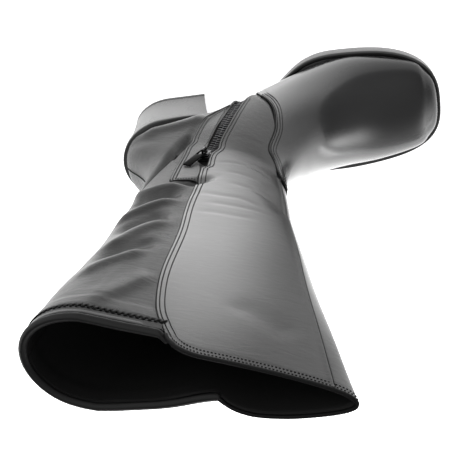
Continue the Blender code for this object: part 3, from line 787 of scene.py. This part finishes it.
def frontRim(spacing=1.0, blur=3):
    # up the inner edge of the front panel, along its top and down the outer edge
    foot, top = lineForm["frontRows"]
    rise, fall = np.linspace(foot, top, 300), np.linspace(top, foot, 150)
    inner = np.stack([rise, frontEdge(rise)], -1)
    outer = np.stack([fall, lateralEdge(fall)], -1)
    line = np.concatenate([inner, frontTop(), outer])
    run = runOf(surfaceAt(*line.T)[0])
    even = resample(np.arange(0, run[-1], spacing), run, line)
    return np.stack([blurred(part, blur) for part in even.T], -1)


def vampLine():
    girth = np.linspace(lineForm["vampGirth"], -lineForm["vampGirth"], 160)
    return np.stack([vampRow(girth), girth], -1)


placketFront = byRow([
    *zipLine(-zipForm["back"], 0.0, 1.0), *lineOf([(65.6, 171), (63.8, 190), (62, 204)]),
])
placketBack = byRow(lineOf([
    (93, 59), (88, 63), (82, 68), (75.5, 74.5), (69.4, 83), (64.1, 96), (60.5, 107), (56.8, 122),
    (53.2, 137), (49, 157), (45.7, 180), (45, 190),
]))
placketRows = (8.95, *lineOf([(62, 190), (46, 187)])[:, 0])


def placketLine():
    rows = np.linspace(placketRows[0] + lineForm["placketFoot"], placketRows[2], 60)
    return np.stack([rows, placketBack(rows)], -1)


def placketTop():
    share = np.linspace(0.05, 1, 20)
    rows = between(share, *placketRows[1:])
    return np.stack([rows, between(share, placketFront(rows), placketBack(rows))], -1)


def gatherLine():
    near, far = lineForm["gatherEnds"]
    girth = np.linspace(upperForm["rimMedial"] + near, 2 - upperForm["rimLateral"] - far, 160)
    return np.stack([rimRow(np.where(girth > 1, girth - 2, girth)), girth], -1)


def frontTop():
    girth = rimGirths()
    return np.stack([rimRow(girth), girth], -1)


def centreLine():
    rows = np.linspace(vampRow(centreSeam(12.0)) + 0.05, lineForm["centreTop"], 140)
    return np.stack([rows, centreSeam(rows)], -1)


def backLine():
    rows = np.linspace(lineForm["backFrom"], rimRow(1.0) - 0.02, 120)
    return np.stack([rows, np.ones(120)], -1)


# the cords' heights over the last and radii, then the seams' heights and stitches
cords = [
    # painted shadow: the vamp, front panel and placket edge cords are dark edge paint and also stand for
    # the shadow under each overlapping edge
    ("vampEdgeShadowCord", vampLine(), 0.3, 0.7),
    ("centreSeamCord", shifted(centreLine(), -0.4), 0.35, 0.65),
    ("backSeamCord", backLine(), 0.05, 0.5),
    ("frontEdgeShadowCord", frontRim(), -0.1, 0.45),
    ("frontRimShadowCord", frontTop(), -0.5, 1.1),
    ("placketEdgeShadowCord", np.concatenate([placketLine(), placketTop()[::-1]]), 0.05, 0.45),
]
stitch = {"pitch": 1.9, "length": 1.35, "thick": 0.34, "swing": 0.0, "flat": 0.8, "lift": 0.2}
gatherStitch = {**stitch, "pitch": 1.6, "length": 5.4, "thick": 0.8, "swing": 0.85}
seams = [
    ("placketThread", shifted(placketLine(), 1.7), 0.5, stitch),
    ("placketInnerThread", shifted(placketLine(), 4.0), 0.5, stitch),
    ("placketZipThread", shifted(zipLine(-zipForm["back"], 0.1, 0.97, 40), -1.4), 0.5, stitch),
    ("placketEndThread", shifted(placketTop(), -1.7), 0.5, stitch),
    ("gatherThread", shifted(gatherLine(), -8.2), 0.5, gatherStitch),
    ("frontEdgeThread", shifted(frontRim(), 1.7), 0.45, stitch),
    ("frontInnerThread", shifted(frontRim(), 4.4), 0.45, stitch),
    ("vampEdgeThread", shifted(vampLine(), 1.6), 0.7, stitch),
    ("vampMiddleThread", shifted(vampLine(), 3.6), 0.7, stitch),
    ("vampInnerThread", shifted(vampLine(), 5.6), 0.7, stitch),
]

vampForm = {
    "grid": (190, 170), "finish": "vampLeather", "thick": 1.4, "toeCap": 3, "edges": ("high",),
    "sewn": (("high", 2.2), ("high", 4.6)), "side": 0.78, "proud": 0.6, "proudRows": (7.2, 1.0),
    "left": lambda row: -feather[-1](row), "right": feather[1], "low": np.zeros_like,
    "high": lambda u: vampRow((2 * u - 1) * vampForm["side"]),
    "layer": lambda away, row: vampForm["proud"] * ramp(row, *vampForm["proudRows"]),
}
leatherPanel("vamp", vampForm)

frontForm = {
    "thick": 1.5, "edges": ("left", "right", "high"), "stitches": (1.7, 4.4),
    "foot": 0.66, "footRow": 10.0, "drop": 0.3, "under": -1.3, "rise": 1.8, "riseFrom": (6, 9),
    "lip": 0.6, "lipAt": 1.5, "lipWidth": 1.1,
}


def frontLayer(away, row):
    # under the vamp at the foot
    return frontForm["under"] + frontForm["rise"] * ramp(away["low"], *frontForm["riseFrom"])


def seamLayer(away, row):
    # a narrow lip along the front seam
    lip = hump(away["left"] - frontForm["lipAt"], frontForm["lipWidth"])
    return frontLayer(away, row) + frontForm["lip"] * lip


def frontSewn(side):
    return [(edge, away) for edge in (side, "high") for away in frontForm["stitches"]]


footSeam, topSeam = centreSeam(frontForm["footRow"]), centreSeam(lastRow)
frontMedialForm = {
    **frontForm, "grid": (112, 240), "finish": "frontLeather", "sewn": frontSewn("right"),
    "left": centreSeam, "right": frontEdge, "layer": seamLayer,
    "low": lambda u: vampRow(between(u, footSeam, frontForm["foot"])) - frontForm["drop"],
    "high": lambda u: rimRow(between(u, topSeam, frontEdge(lastRow))),
}
leatherPanel("frontPanelMedial", frontMedialForm)

frontLateralForm = {
    **frontForm, "grid": (100, 220), "finish": "frontOuterLeather", "sewn": frontSewn("left"),
    "left": lateralEdge, "right": centreSeam, "layer": frontLayer,
    "low": lambda u: vampRow(between(u, -frontForm["foot"], footSeam)) - frontForm["drop"],
    "high": lambda u: rimRow(between(u, lateralEdge(lastRow), topSeam)),
}
leatherPanel("frontPanelLateral", frontLateralForm)

collarForm = {
    "gather": 8.2, "dip": 0.8, "dipWidth": 2.4, "puff": 0.2, "puffAt": 2.2, "puffWidth": 2.6,
    "facing": (20.0, 2.5), "raise": 0.5, "band": 8.0, "rowLength": 62.0, "proud": 0.9, "bandRound": 3.0,
    "sunk": 0.3,
}


def collarPuff(away):
    # a padded band under the roll, a gathered dip along its foot and a raised facing below
    high = away["high"]
    band = collarForm["puff"] * hump(high - collarForm["puffAt"], collarForm["puffWidth"])
    dip = collarForm["dip"] * hump(high - collarForm["gather"], collarForm["dipWidth"])
    return band - dip + collarForm["raise"] * (1 - ramp(high, *collarForm["facing"]))


backForm = {
    "finish": "backLeather", "thick": 1.3, "foot": 8.35, "low": lambda u: np.full_like(u, backForm["foot"]),
    "seam": (7, 9), "outerSeam": (6, 9), "seamDeep": 0.7, "seamRows": (14.6, 0.8),
    "flap": (17, 6), "flapDeep": 1.1, "flapRows": (15.0, 0.6), "lap": 0.03,
}


def backMedialLayer(away, row):
    # under the front panel above the zip, and under the placket beside it
    seam = (1 - ramp(away["left"], *backForm["seam"])) * ramp(row, *backForm["seamRows"])
    flap = (1 - ramp(away["left"], *backForm["flap"])) * (1 - ramp(row, *backForm["flapRows"]))
    return collarPuff(away) - backForm["seamDeep"] * seam - backForm["flapDeep"] * flap


def backLateralLayer(away, row):
    return collarPuff(away) - backForm["seamDeep"] * (1 - ramp(away["right"], *backForm["outerSeam"]))


backMedialForm = {
    **backForm, "grid": (130, 210), "edges": ("right", "high"), "left": zipBackEdge, "right": feather[1],
    "layer": backMedialLayer, "high": lambda u: rimRow(between(u, 0.52, 1.0)),
}
leatherPanel("backPanelMedial", backMedialForm)

backLateralForm = {
    **backForm, "grid": (120, 190), "edges": ("left", "high"), "left": lambda row: -feather[-1](row),
    "right": lambda row: lateralEdge(row) + backForm["lap"],
    "layer": backLateralLayer, "high": lambda u: rimRow(between(u, -1.0, -0.38)),
}
leatherPanel("backPanelLateral", backLateralForm)


def bandLayer(away, row):
    turn = np.clip(away["low"] / collarForm["bandRound"], 0, 1) * math.pi / 2
    return collarForm["proud"] * np.sin(turn) - collarForm["sunk"]


def bandForm(near, far):
    return {
        "grid": (120, 22), "finish": "bindingLeather", "thick": 0.9, "edges": ("high",), "layer": bandLayer,
        "left": lambda row: np.full_like(row, near), "right": lambda row: np.full_like(row, far),
        "low": lambda u: rimRow(between(u, near, far)) - collarForm["band"] / collarForm["rowLength"],
        "high": lambda u: rimRow(between(u, near, far)),
    }


leatherPanel("collarBandMedial", bandForm(0.522, 1.0))
leatherPanel("collarBandLateral", bandForm(-1.0, -0.385))

placketForm = {
    "grid": (44, 120), "finish": "placketLeather", "thick": 1.3, "edges": ("right", "high", "left"),
    "sewn": (("right", 1.7), ("right", 4.0), ("high", 1.7)), "proud": 0.6, "proudRows": (9.6, 0.8),
    "left": placketFront, "right": placketBack,
    "layer": lambda away, row: placketForm["proud"] * ramp(row, *placketForm["proudRows"]),
    "low": lambda u: np.full_like(u, placketRows[0]), "high": lambda u: between(u, *placketRows[1:]),
}
leatherPanel("zipPlacket", placketForm)
print("leather panels ready")

liningForm = {
    "grid": (110, 150), "depth": 1.45, "thick": 0.55, "laps": (-0.42, 0.5), "lapDepth": 0.9,
    "lapWidth": 0.07, "bandFoot": 18.0, "bandEase": 7.0, "bandSides": (-0.4, 0.5), "intoRoll": 2.0,
    "short": 0.6, "proud": 0.4,
}


def liningPlace(i, j):
    girth = -1 + 2 * i / liningForm["grid"][0]
    v = j / liningForm["grid"][1]
    outer, inner = liningForm["bandSides"]
    wide = liningForm["lapWidth"]
    beside = ramp(girth, inner, wide) + ramp(-girth, -outer, wide)
    high = np.interp(rimRow(girth), tableRows, rowRun) - liningForm["short"]
    high += liningForm["intoRoll"] * beside
    row = np.interp(v * high, rowRun, tableRows)
    places, normals = surfaceAt(row, girth)
    laps = sum(hump(girth - lap, wide) for lap in liningForm["laps"])
    under = ease((liningForm["bandFoot"] - high * (1 - v)) / liningForm["bandEase"])
    depth = liningForm["depth"] + liningForm["lapDepth"] * (laps + beside * under)
    lift = np.minimum(relief(places, normals), liningForm["proud"]) - depth
    return places + normals * lift[:, None]


liningMesh = gridMesh("lining", *liningForm["grid"], liningPlace)
addWall(addPiece("lining", liningMesh, "liningCloth", "upper"), liningForm["thick"])
print("lining ready")


# Sole, heel and insole

def slabMesh(name, form):
    # profile points: a share across, an inset from the outline, a level and a lift from it
    radius, along = form["radius"], form["along"]
    turns = np.linspace(0, math.pi / 2, 6)
    corner = [(radius * (1 - math.sin(turn)), radius * (1 - math.cos(turn))) for turn in turns]
    spans = np.linspace(0, 1, 9)[1:-1]
    profile = [(1, inset, "low", lift) for inset, lift in corner]
    profile += [(1, inset, "high", -lift) for inset, lift in reversed(corner)]
    profile += [(1 - 2 * span, radius, "high", 0.0) for span in spans]
    profile += [(-1, inset, "high", -lift) for inset, lift in corner]
    profile += [(-1, inset, "low", lift) for inset, lift in reversed(corner)]
    profile += [(-1 + 2 * span, radius, "low", 0.0) for span in spans]
    around = len(profile)

    def place(i, j):
        places = np.zeros((len(i), 3))
        for k in range(around):
            pick = (i % around) == k
            across, inset, level, lift = profile[k]
            station = form["station"](j[pick] / along, inset)
            side = "medial" if across > 0 else "lateral"
            half = form["half"](station, side, inset) if across else 0 * station
            height = form[level](station) + lift
            places[pick] = np.stack([station, half * across, height], -1)
        return places

    return gridMesh(name, around, along, place, weld=True)


def soleStation(share, inset, base=0.0):
    # closer together where the ends turn
    inset = inset + base
    heelPart, toePart = soleForm["endShares"]
    heelTo, toeFrom = soleForm["heelRound"], soleForm["toeRoundFrom"]
    heelTurn = np.clip(share / heelPart, 0, 1) * math.pi / 2
    toeTurn = np.clip((1 - share) / toePart, 0, 1) * math.pi / 2
    heel = heelTo - (heelTo - inset) * np.cos(heelTurn)
    toe = toeFrom + (soleForm["length"] - inset - toeFrom) * np.cos(toeTurn) ** (2 / soleForm["toePower"])
    middle = between((share - heelPart) / (1 - heelPart - toePart), heelTo, toeFrom)
    return np.where(share < heelPart, heel, np.where(share > 1 - toePart, toe, middle))


def outsoleHalf(station, side, inset=0.0):
    # the forefoot stands out a little more on the outer side
    half = soleHalf(station, side, inset)
    if side == "lateral":
        half = half * (1 + outsoleForm["outward"] * ramp(station, *outsoleForm["outwardFrom"]))
    return half


outsoleForm = {
    "along": 180, "radius": 0.9, "outward": 0.05, "outwardFrom": (110, 40),
    "station": soleStation, "half": outsoleHalf, "low": soleBottom, "high": soleTop,
}
addPiece("outsoleBody", slabMesh("outsoleBody", outsoleForm), "soleRubber", "outsole")


def insoleStation(share, inset):
    return np.maximum(soleStation(share, inset, insoleForm["inset"]), insoleForm["back"])


insoleForm = {
    "along": 120, "radius": 0.8, "inset": 14.3, "lift": 4.3, "thick": 2.4, "back": 23.4,
    "station": insoleStation,
    "half": lambda station, side, inset: soleHalf(station, side, inset + insoleForm["inset"]),
    "low": lambda station: soleTop(station) + insoleForm["lift"],
    "high": lambda station: soleTop(station) + insoleForm["lift"] + insoleForm["thick"],
}
addPiece("insoleSock", slabMesh("insoleSock", insoleForm), "insoleCloth", "insole")

heelForm = {
    "back": 4.5, "breast": 65.0, "medial": 25.0, "lateral": 26.0, "round": 32.0, "power": 2.1, "bevel": 0.7,
    "breastTop": 69.0, "inset": 1.6, "taperPower": 1.35, "topPiece": 4.5, "around": 46, "levels": 36,
    "roundShare": 0.62,
}


def heelHalf(station, side, inset=0.0):
    reach = (heelForm["round"] + heelForm["back"] - station) / (heelForm["round"] - inset)
    return (heelForm[side] - inset) * roundEnd(reach, heelForm["power"])


def heelStation(share, start, end, run):
    part = heelForm["roundShare"]
    turned = start + run * (1 - np.cos(np.clip(share / part, 0, 1) * math.pi / 2))
    return np.where(share < part, turned, between((share - part) / (1 - part), start + run, end))


def heelPlace(i, j):
    count = heelForm["around"]
    ring = 2 * count
    i = i % ring
    medial = i < count
    share = np.where(medial, i, ring - 1 - i) / (count - 1)
    low = heelStation(share, heelForm["back"], heelForm["breast"], heelForm["round"])
    seatRun = soleForm["heelRound"] - heelForm["inset"]
    high = heelStation(share, heelForm["inset"], heelForm["breastTop"], seatRun)
    floor = heelForm["topPiece"] + soleForm["fitGap"]
    seat = soleBottom(high) - soleForm["fitGap"]
    rise = j / heelForm["levels"]
    taper = rise ** heelForm["taperPower"]
    places = np.zeros((len(i), 3))
    for side, sign, pick in (("medial", 1, medial), ("lateral", -1, ~medial)):
        across = heelHalf(low, side) * (1 - taper) + soleHalf(high, side, heelForm["inset"]) * taper
        places[pick, 1] = (sign * across)[pick]
    places[:, 0] = low + (high - low) * taper
    places[:, 2] = floor + (seat - floor) * rise
    return places


def bevelEdges(bm, edges, width, segments):
    bmesh.ops.bevel(bm, geom=edges, offset=width * mm, offset_type="OFFSET", segments=segments, profile=0.5,
                    affect="EDGES", clamp_overlap=True, material=-1)


def closedEdges(mesh, width=0.0, least=0.6):
    # closes both ends and rounds the sharp edges
    bm = bmesh.new()
    bm.from_mesh(mesh)
    bmesh.ops.holes_fill(bm, edges=[e for e in bm.edges if e.is_boundary], sides=0)
    bmesh.ops.recalc_face_normals(bm, faces=bm.faces)
    if width:
        sharp = [e for e in bm.edges if len(e.link_faces) == 2 and e.calc_face_angle() > least]
        bevelEdges(bm, sharp, width, 3)
    bm.to_mesh(mesh)
    bm.free()
    return mesh


heelMesh = gridMesh("heelBlock", 2 * heelForm["around"], heelForm["levels"], heelPlace, weld=True)
addPiece("heelBlock", closedEdges(heelMesh, heelForm["bevel"]), "heelCover", "heel")


def topPieceStation(share, inset):
    back, breast = heelForm["back"] + inset, heelForm["breast"] - inset
    return np.clip(heelStation(share, back, breast, heelForm["round"] - inset), back, breast)


topPieceForm = {
    "along": 70, "radius": 0.5, "station": topPieceStation, "half": heelHalf, "low": np.zeros_like,
    "high": lambda station: np.full_like(station, heelForm["topPiece"]),
}
topPieceMesh = closedEdges(slabMesh("topPiece", topPieceForm))
addPiece("topPiece", topPieceMesh, "topPieceRubber", "heel_top_piece")
print("sole ready")


# Collar roll

bindingForm = {
    "seen": 2.2, "tuck": (2.4, 0.4), "behind": 2.6, "behindEase": (4.0, 5.5), "wall": 2.0, "squash": 0.12,
    "ripple": 0.16, "ripples": (1.25, 0.8, 7.0), "swell": 0.1, "swells": (6.1, 1.2, 23.0),
    "endRound": 2.4, "around": 26, "along": 420,
}


def collarLine(count):
    # the inner end goes on behind the front panel, at the height of the rim beside it
    tucks = [tuck / runs[-1] for tuck, runs in zip(bindingForm["tuck"], halfRuns)]
    near, far = upperForm["rimMedial"], 2 - upperForm["rimLateral"]
    girth = np.linspace(near - tucks[0], far + tucks[1], count + 1)
    seen = np.clip(girth, near + 0.002, far - 0.002)
    row = rimRow(np.where(seen > 1, seen - 2, seen))
    edge, normal = surfaceAt(row, girth)
    return edge, normal, unit(edge - surfaceAt(row - 0.1, girth)[0])


def swaying(at, length, sway, over):
    # a wave's angle, with its length not quite even
    return at / length + sway * np.sin(at / over)


def bindingPlace(i, j):
    edge, out, rise = collarLine(bindingForm["along"])
    run = runOf(edge)
    reach, over = bindingForm["behindEase"]
    behind = ease((bindingForm["tuck"][0] + reach - run) / over)
    inward = bindingForm["wall"] / 2 + bindingForm["behind"] * behind
    centre = edge - out * inward[:, None] + rise * (bindingForm["seen"] + soleForm["fitGap"])
    angle = 2 * math.pi * (i % bindingForm["around"]) / bindingForm["around"]
    at = run[j]
    end = np.clip(np.minimum(at, run[-1] - at) / bindingForm["endRound"], 0, 1)
    wave = np.sin(swaying(at, *bindingForm["ripples"])) * np.clip(-np.sin(angle), 0, 1)
    slow = np.sin(swaying(at, *bindingForm["swells"]) + angle)
    radius = bindingForm["seen"] + bindingForm["ripple"] * wave + bindingForm["swell"] * slow
    radius = radius * np.sqrt(np.clip(1 - (1 - end) ** 2, 0.0, 1))
    flat = 1 + bindingForm["squash"] * np.cos(2 * angle)
    sideways = (radius * flat * np.cos(angle))[:, None] * out[j]
    return centre[j] + sideways + (radius / flat * np.sin(angle))[:, None] * rise[j]


bindingMesh = gridMesh("collarRoll", bindingForm["around"], bindingForm["along"], bindingPlace, weld=True)
addPiece("collarRoll", bindingMesh, "bindingLeather", "collar_binding")
print("collar ready")


# Zip

def tapeMesh():
    steps = zipForm["tapeSteps"]

    def place(i, j):
        corner = i % 4
        hand = np.where((corner == 0) | (corner == 3), 0.5, -0.5)
        line = lineOf([zipAt(s / steps, h * zipForm["tapeWidth"]) for s, h in zip(j, hand)])
        places, normals = surfaceAt(*line.T)
        return places + normals * np.where(corner < 2, *zipForm["tapeDepths"])[:, None]

    return closedEdges(gridMesh("zipTapes", 4, steps, place, weld=True), zipForm["tapeRound"])


addPiece("zipTapes", tapeMesh(), "zipTape", "zip_chain")


def toothMesh():
    bm = bmesh.new()
    length = np.linalg.norm(zipTop - zipFoot)
    pitch, out = zipForm["toothPitch"], zipForm["toothOut"]
    size = Matrix.Diagonal((*(side * mm for side in zipForm["toothSize"]), 1))
    for k in range(int((length - zipForm["toothStop"]) / pitch)):
        place, normal = surfaceAt(*locate(*zipAt((zipForm["toothFrom"] + k * pitch) / length)))
        u, n = Vector((zipAlong[0], 0, zipAlong[1])), Vector(normal)
        u = (u - n * u.dot(n)).normalized()
        w = n.cross(u)
        sideways = zipForm["toothShift"] + (out if k % 2 else -out)
        at = Vector(world(place)) + (w * sideways - n * zipForm["toothSunk"]) * mm
        axes = Matrix((u, w, n)).transposed().to_4x4()
        bmesh.ops.create_cube(bm, size=1, matrix=Matrix.Translation(at) @ axes @ size)
    return meshOf("zipTeeth", bm)


addPiece("zipTeeth", toothMesh(), "darkTeeth", "zip_chain")


def boxMesh(name, axes, boxes, bevel):
    # boxes: a low corner and a high corner in millimetres
    bm = bmesh.new()
    for low, high in boxes:
        middle = [(a + b) / 2 * mm for a, b in zip(low, high)]
        size = [(b - a) * mm for a, b in zip(low, high)]
        place = axes @ Matrix.Translation(middle) @ Matrix.Diagonal((*size, 1))
        bmesh.ops.create_cube(bm, size=1, matrix=place)
    bevelEdges(bm, bm.edges[:], bevel, 2)
    return meshOf(name, bm)


def sliderFrame():
    ends = [zipTop, zipTop - zipAlong * zipForm["slider"][0]]
    level = max(float(surfaceAt(*locate(*end))[0][1]) for end in ends) + soleForm["fitGap"]
    seat = zipTop - zipAlong * zipForm["slider"][0] / 2
    u, n = Vector((zipAlong[0], 0, zipAlong[1])), Vector((0, 1, 0))
    axes = Matrix((u, n.cross(u), n)).transposed().to_4x4()
    return Matrix.Translation(Vector(world(np.array((seat[0], level, seat[1]))))) @ axes


sliderAxes = sliderFrame()


def sliderMesh():
    length, width, body = zipForm["slider"]
    under, over = zipForm["plates"]
    nose, thick, inside = zipForm["wedge"]
    end, side = length / 2, width / 2
    half, bar = zipForm["archWidth"] / 2, zipForm["archBar"]
    front, back = zipForm["archFront"], zipForm["archBack"]
    foot, ridge = body - zipForm["archSunk"], body + zipForm["archClear"] + bar
    boxes = [
        ((-end, -side, body - over), (end, side, body)),
        ((-end, -side, 0), (end, side, under)),
        ((-end + nose, -thick, inside), (end, thick, body - inside)),
        ((back, -half, foot), (back + bar, half, ridge)),
        ((front - bar, -half, foot), (front, half, ridge)),
        ((back, -half, ridge - bar), (front, half, ridge)),
    ]
    return boxMesh("zipSlider", sliderAxes, boxes, zipForm["sliderRound"])


def pullMesh():
    ahead, up = zipForm["pullAxis"]
    hinge = Matrix.Translation((ahead * mm, 0, (zipForm["slider"][2] + up) * mm))
    lean = Matrix.Rotation(math.radians(zipForm["pullTurn"]), 4, "Z")
    lean = lean @ Matrix.Rotation(math.radians(zipForm["pullLean"]), 4, "Y")
    half, thin, bar = zipForm["pullWidth"] / 2, zipForm["pullThick"] / 2, zipForm["pullBar"] / 2
    opening, gap = zipForm["window"]
    inner = bar + opening
    lap = inner + zipForm["windowLap"]
    boxes = [
        ((-bar, -half, -thin), (bar, half, thin)),
        ((-bar, gap / 2, -thin), (lap, half, thin)),
        ((-bar, -half, -thin), (lap, -gap / 2, thin)),
        ((inner, -half, -thin), (zipForm["pullLength"], half, thin)),
    ]
    return boxMesh("zipPull", sliderAxes @ hinge @ lean, boxes, zipForm["pullRound"])


addPiece("zipSlider", sliderMesh(), "darkMetal", "zip_slider")
addPiece("zipPull", pullMesh(), "darkPull", "zip_pull", body="pull")
print("zip ready")


# Cords and thread

def onLeather(line, layer):
    places, normals = surfaceAt(*line.T)
    return places + normals * (relief(places, normals) + layer)[:, None], normals


def evenly(places, normals, pitch):
    # even steps along a line: places, normals and the way ahead
    run = runOf(places)
    at = np.arange(pitch / 2, run[-1], pitch)
    return [resample(at, run, table) for table in (places, normals, np.gradient(places, axis=0))]


def threadMesh(name, line, layer, size):
    mesh = bpy.data.meshes.new(name)
    bm = bmesh.new()
    thick, half = size["thick"] * mm, size["length"] / 2 * mm
    centres, normals, ways = evenly(*onLeather(line, layer), size["pitch"])
    for k, (centre, n, t) in enumerate(zip(centres, unit(normals), ways)):
        t = unit(t - n * (n @ t))
        side = np.cross(t, n)
        turn = size["swing"] if k % 2 else -size["swing"]
        c, s = math.cos(turn), math.sin(turn)
        columns = (n * thick * size["flat"], (side * c - t * s) * thick, (t * c + side * s) * half)
        at = Vector(world(centre + n * size["thick"] * size["lift"]))
        place = Matrix.Translation(at) @ Matrix(columns).transposed().to_4x4()
        bead = bmesh.new()
        bmesh.ops.create_uvsphere(bead, u_segments=6, v_segments=4, radius=1, matrix=place)
        bead.to_mesh(mesh)
        bead.free()
        bm.from_mesh(mesh)
    bm.to_mesh(mesh)
    bm.free()
    return mesh


def tubeMesh(name, places, normals, radius, pitch=1.3, around=8):
    centre, n, ways = evenly(places, normals, pitch)
    side = unit(np.cross(ways, n))
    last = len(centre) - 1

    def place(i, j):
        angle = 2 * math.pi * (i % around) / around
        reach = np.where((j == 0) | (j == last), 0.0, radius)[:, None]
        return centre[j] + reach * (np.cos(angle)[:, None] * n[j] + np.sin(angle)[:, None] * side[j])

    return gridMesh(name, around, last, place, weld=True)


featherForm = {"from": 118.0, "radius": 1.15, "lift": 0.45}


def featherLine():
    # where the forefoot's leather turns under on the sole
    toeFrom, ledge = soleForm["toeRoundFrom"], soleForm["ledge"]
    reach = np.sin(np.linspace(0, math.pi / 2, 60)) ** (2 / soleForm["toePower"])
    straight = np.linspace(featherForm["from"], toeFrom, 40)[:-1]
    stations = np.concatenate([straight, between(reach, toeFrom, soleForm["length"] - ledge)])
    high = soleTop(stations) + featherForm["lift"]
    inner, outer = (
        np.stack([stations, hand * soleHalf(stations, side, ledge), high], -1)
        for side, hand in (("medial", 1), ("lateral", -1))
    )
    places = np.concatenate([inner, outer[::-1][1:]])
    return places, np.tile((0.0, 0.0, 1.0), (len(places), 1))


# painted shadow: a black cord along the feather line darkens the crevice between the upper and the sole's
# ledge
featherShadowMesh = tubeMesh("featherShadowCord", *featherLine(), featherForm["radius"])
addPiece("featherShadowCord", featherShadowMesh, "edgeAndShadeBlack", "upper")
# the edge cords are dark edge paint and painted shadow under overlapping edges
for name, line, layer, radius in cords:
    addPiece(name, tubeMesh(name, *onLeather(line, layer), radius), "edgeAndShadeBlack", "upper")
for name, line, layer, size in seams:
    addPiece(name, threadMesh(name, line, layer, size), "blackThread", "upper")
print("thread ready")


# Floor, light and camera

floorForm = {"size": 14, "drop": 0.0003}


def buildFloor():
    bm = bmesh.new()
    bmesh.ops.create_grid(bm, x_segments=1, y_segments=1, size=floorForm["size"])
    bmesh.ops.translate(bm, verts=bm.verts, vec=(0, 0, -floorForm["drop"]))
    mesh = meshOf("floor", bm)
    floor = bpy.data.objects.new("floor", mesh)
    mesh.materials.append(finishes["paleFloor"])
    bpy.context.scene.collection.objects.link(floor)


# a lobe of the surroundings has a way, a power that narrows it and a level
lightForm = {
    "lobes": [
        ((-1, 1, 0.15), 8, 2.0), ((0.82, -0.55, 0.12), 24, 4.5), ((0, -1, 0.12), 8, 2.0),
        ((0, 1, 1), 6, 1.6), ((1, 0, 1), 6, 0.3), ((0, 0, 1), 4, 0.3),
    ],
    "top": {"at": (0.1, 0.3, 2.4), "energy": 24.0, "size": 3.2},
    "pools": [
        {"at": (0.0, 0.14, 1.6), "energy": 60.0, "cone": 18.0},
        {"at": (-0.32, -0.2, 1.6), "energy": 130.0, "cone": 17.0},
        {"at": (0.0, -0.25, 1.6), "energy": 150.0, "cone": 18.0},
        {"at": (0.42, -0.25, 1.6), "energy": 360.0, "cone": 13.0},
    ],
    "poolSize": 0.05,
}


def addLight(name, kind, at, **values):
    data = bpy.data.lights.new(name, kind)
    for key, value in values.items():
        setattr(data, key, value)
    lamp = bpy.data.objects.new(name, data)
    lamp.matrix_world = Matrix.Translation(at)
    lamp.visible_glossy = False
    bpy.context.scene.collection.objects.link(lamp)


def buildLight():
    studio = bpy.data.worlds.new("studio")
    studio.use_nodes = True
    tree = studio.node_tree
    shade = tree.nodes["Background"].inputs
    shade["Color"].default_value = (1, 1, 1, 1)
    ways = addNode(tree, "ShaderNodeTexCoord").outputs["Generated"]
    total = None
    for way, power, level in lightForm["lobes"]:
        facing = vectorNode(tree, "DOT_PRODUCT", ways, Vector(way).normalized())["Value"]
        narrow = mathNode(tree, "POWER", mathNode(tree, "MAXIMUM", facing, 0.0), power)
        glow = mathNode(tree, "MULTIPLY", narrow, level)
        total = mathNode(tree, "ADD", total, glow) if total else glow
    tree.links.new(total, shade["Strength"])
    bpy.context.scene.world = studio
    addLight("topLight", "AREA", **lightForm["top"])
    for pool in lightForm["pools"]:
        addLight("poolLight", "SPOT", pool["at"], energy=pool["energy"], spot_blend=1.0,
                 spot_size=math.radians(pool["cone"]), shadow_soft_size=lightForm["poolSize"])


cameraForm = {
    "at": (0.089737, 0.320317, 0.905375), "to": (0.04439, -0.011909, 0.187687), "roll": 3.145,
    "focal": 1159.07, "frame": 458, "sensor": 36.0,
}


def buildCamera():
    data = bpy.data.cameras.new("camera")
    data.sensor_width = cameraForm["sensor"]
    data.sensor_fit = "HORIZONTAL"
    data.lens = cameraForm["focal"] / cameraForm["frame"] * cameraForm["sensor"]
    at, to = Vector(cameraForm["at"]), Vector(cameraForm["to"])
    ahead = (to - at).normalized()
    right = ahead.cross(Vector((0, 0, 1))).normalized()
    up = right.cross(ahead)
    c, s = math.cos(cameraForm["roll"]), math.sin(cameraForm["roll"])
    axes = Matrix((c * right + s * up, -s * right + c * up, -ahead)).transposed().to_4x4()
    camera = bpy.data.objects.new("camera", data)
    camera.matrix_world = Matrix.Translation(at) @ axes
    bpy.context.scene.collection.objects.link(camera)
    bpy.context.scene.camera = camera


buildFloor()
buildLight()
buildCamera()
bpy.context.scene.view_settings.view_transform = "Standard"
print("stage ready")
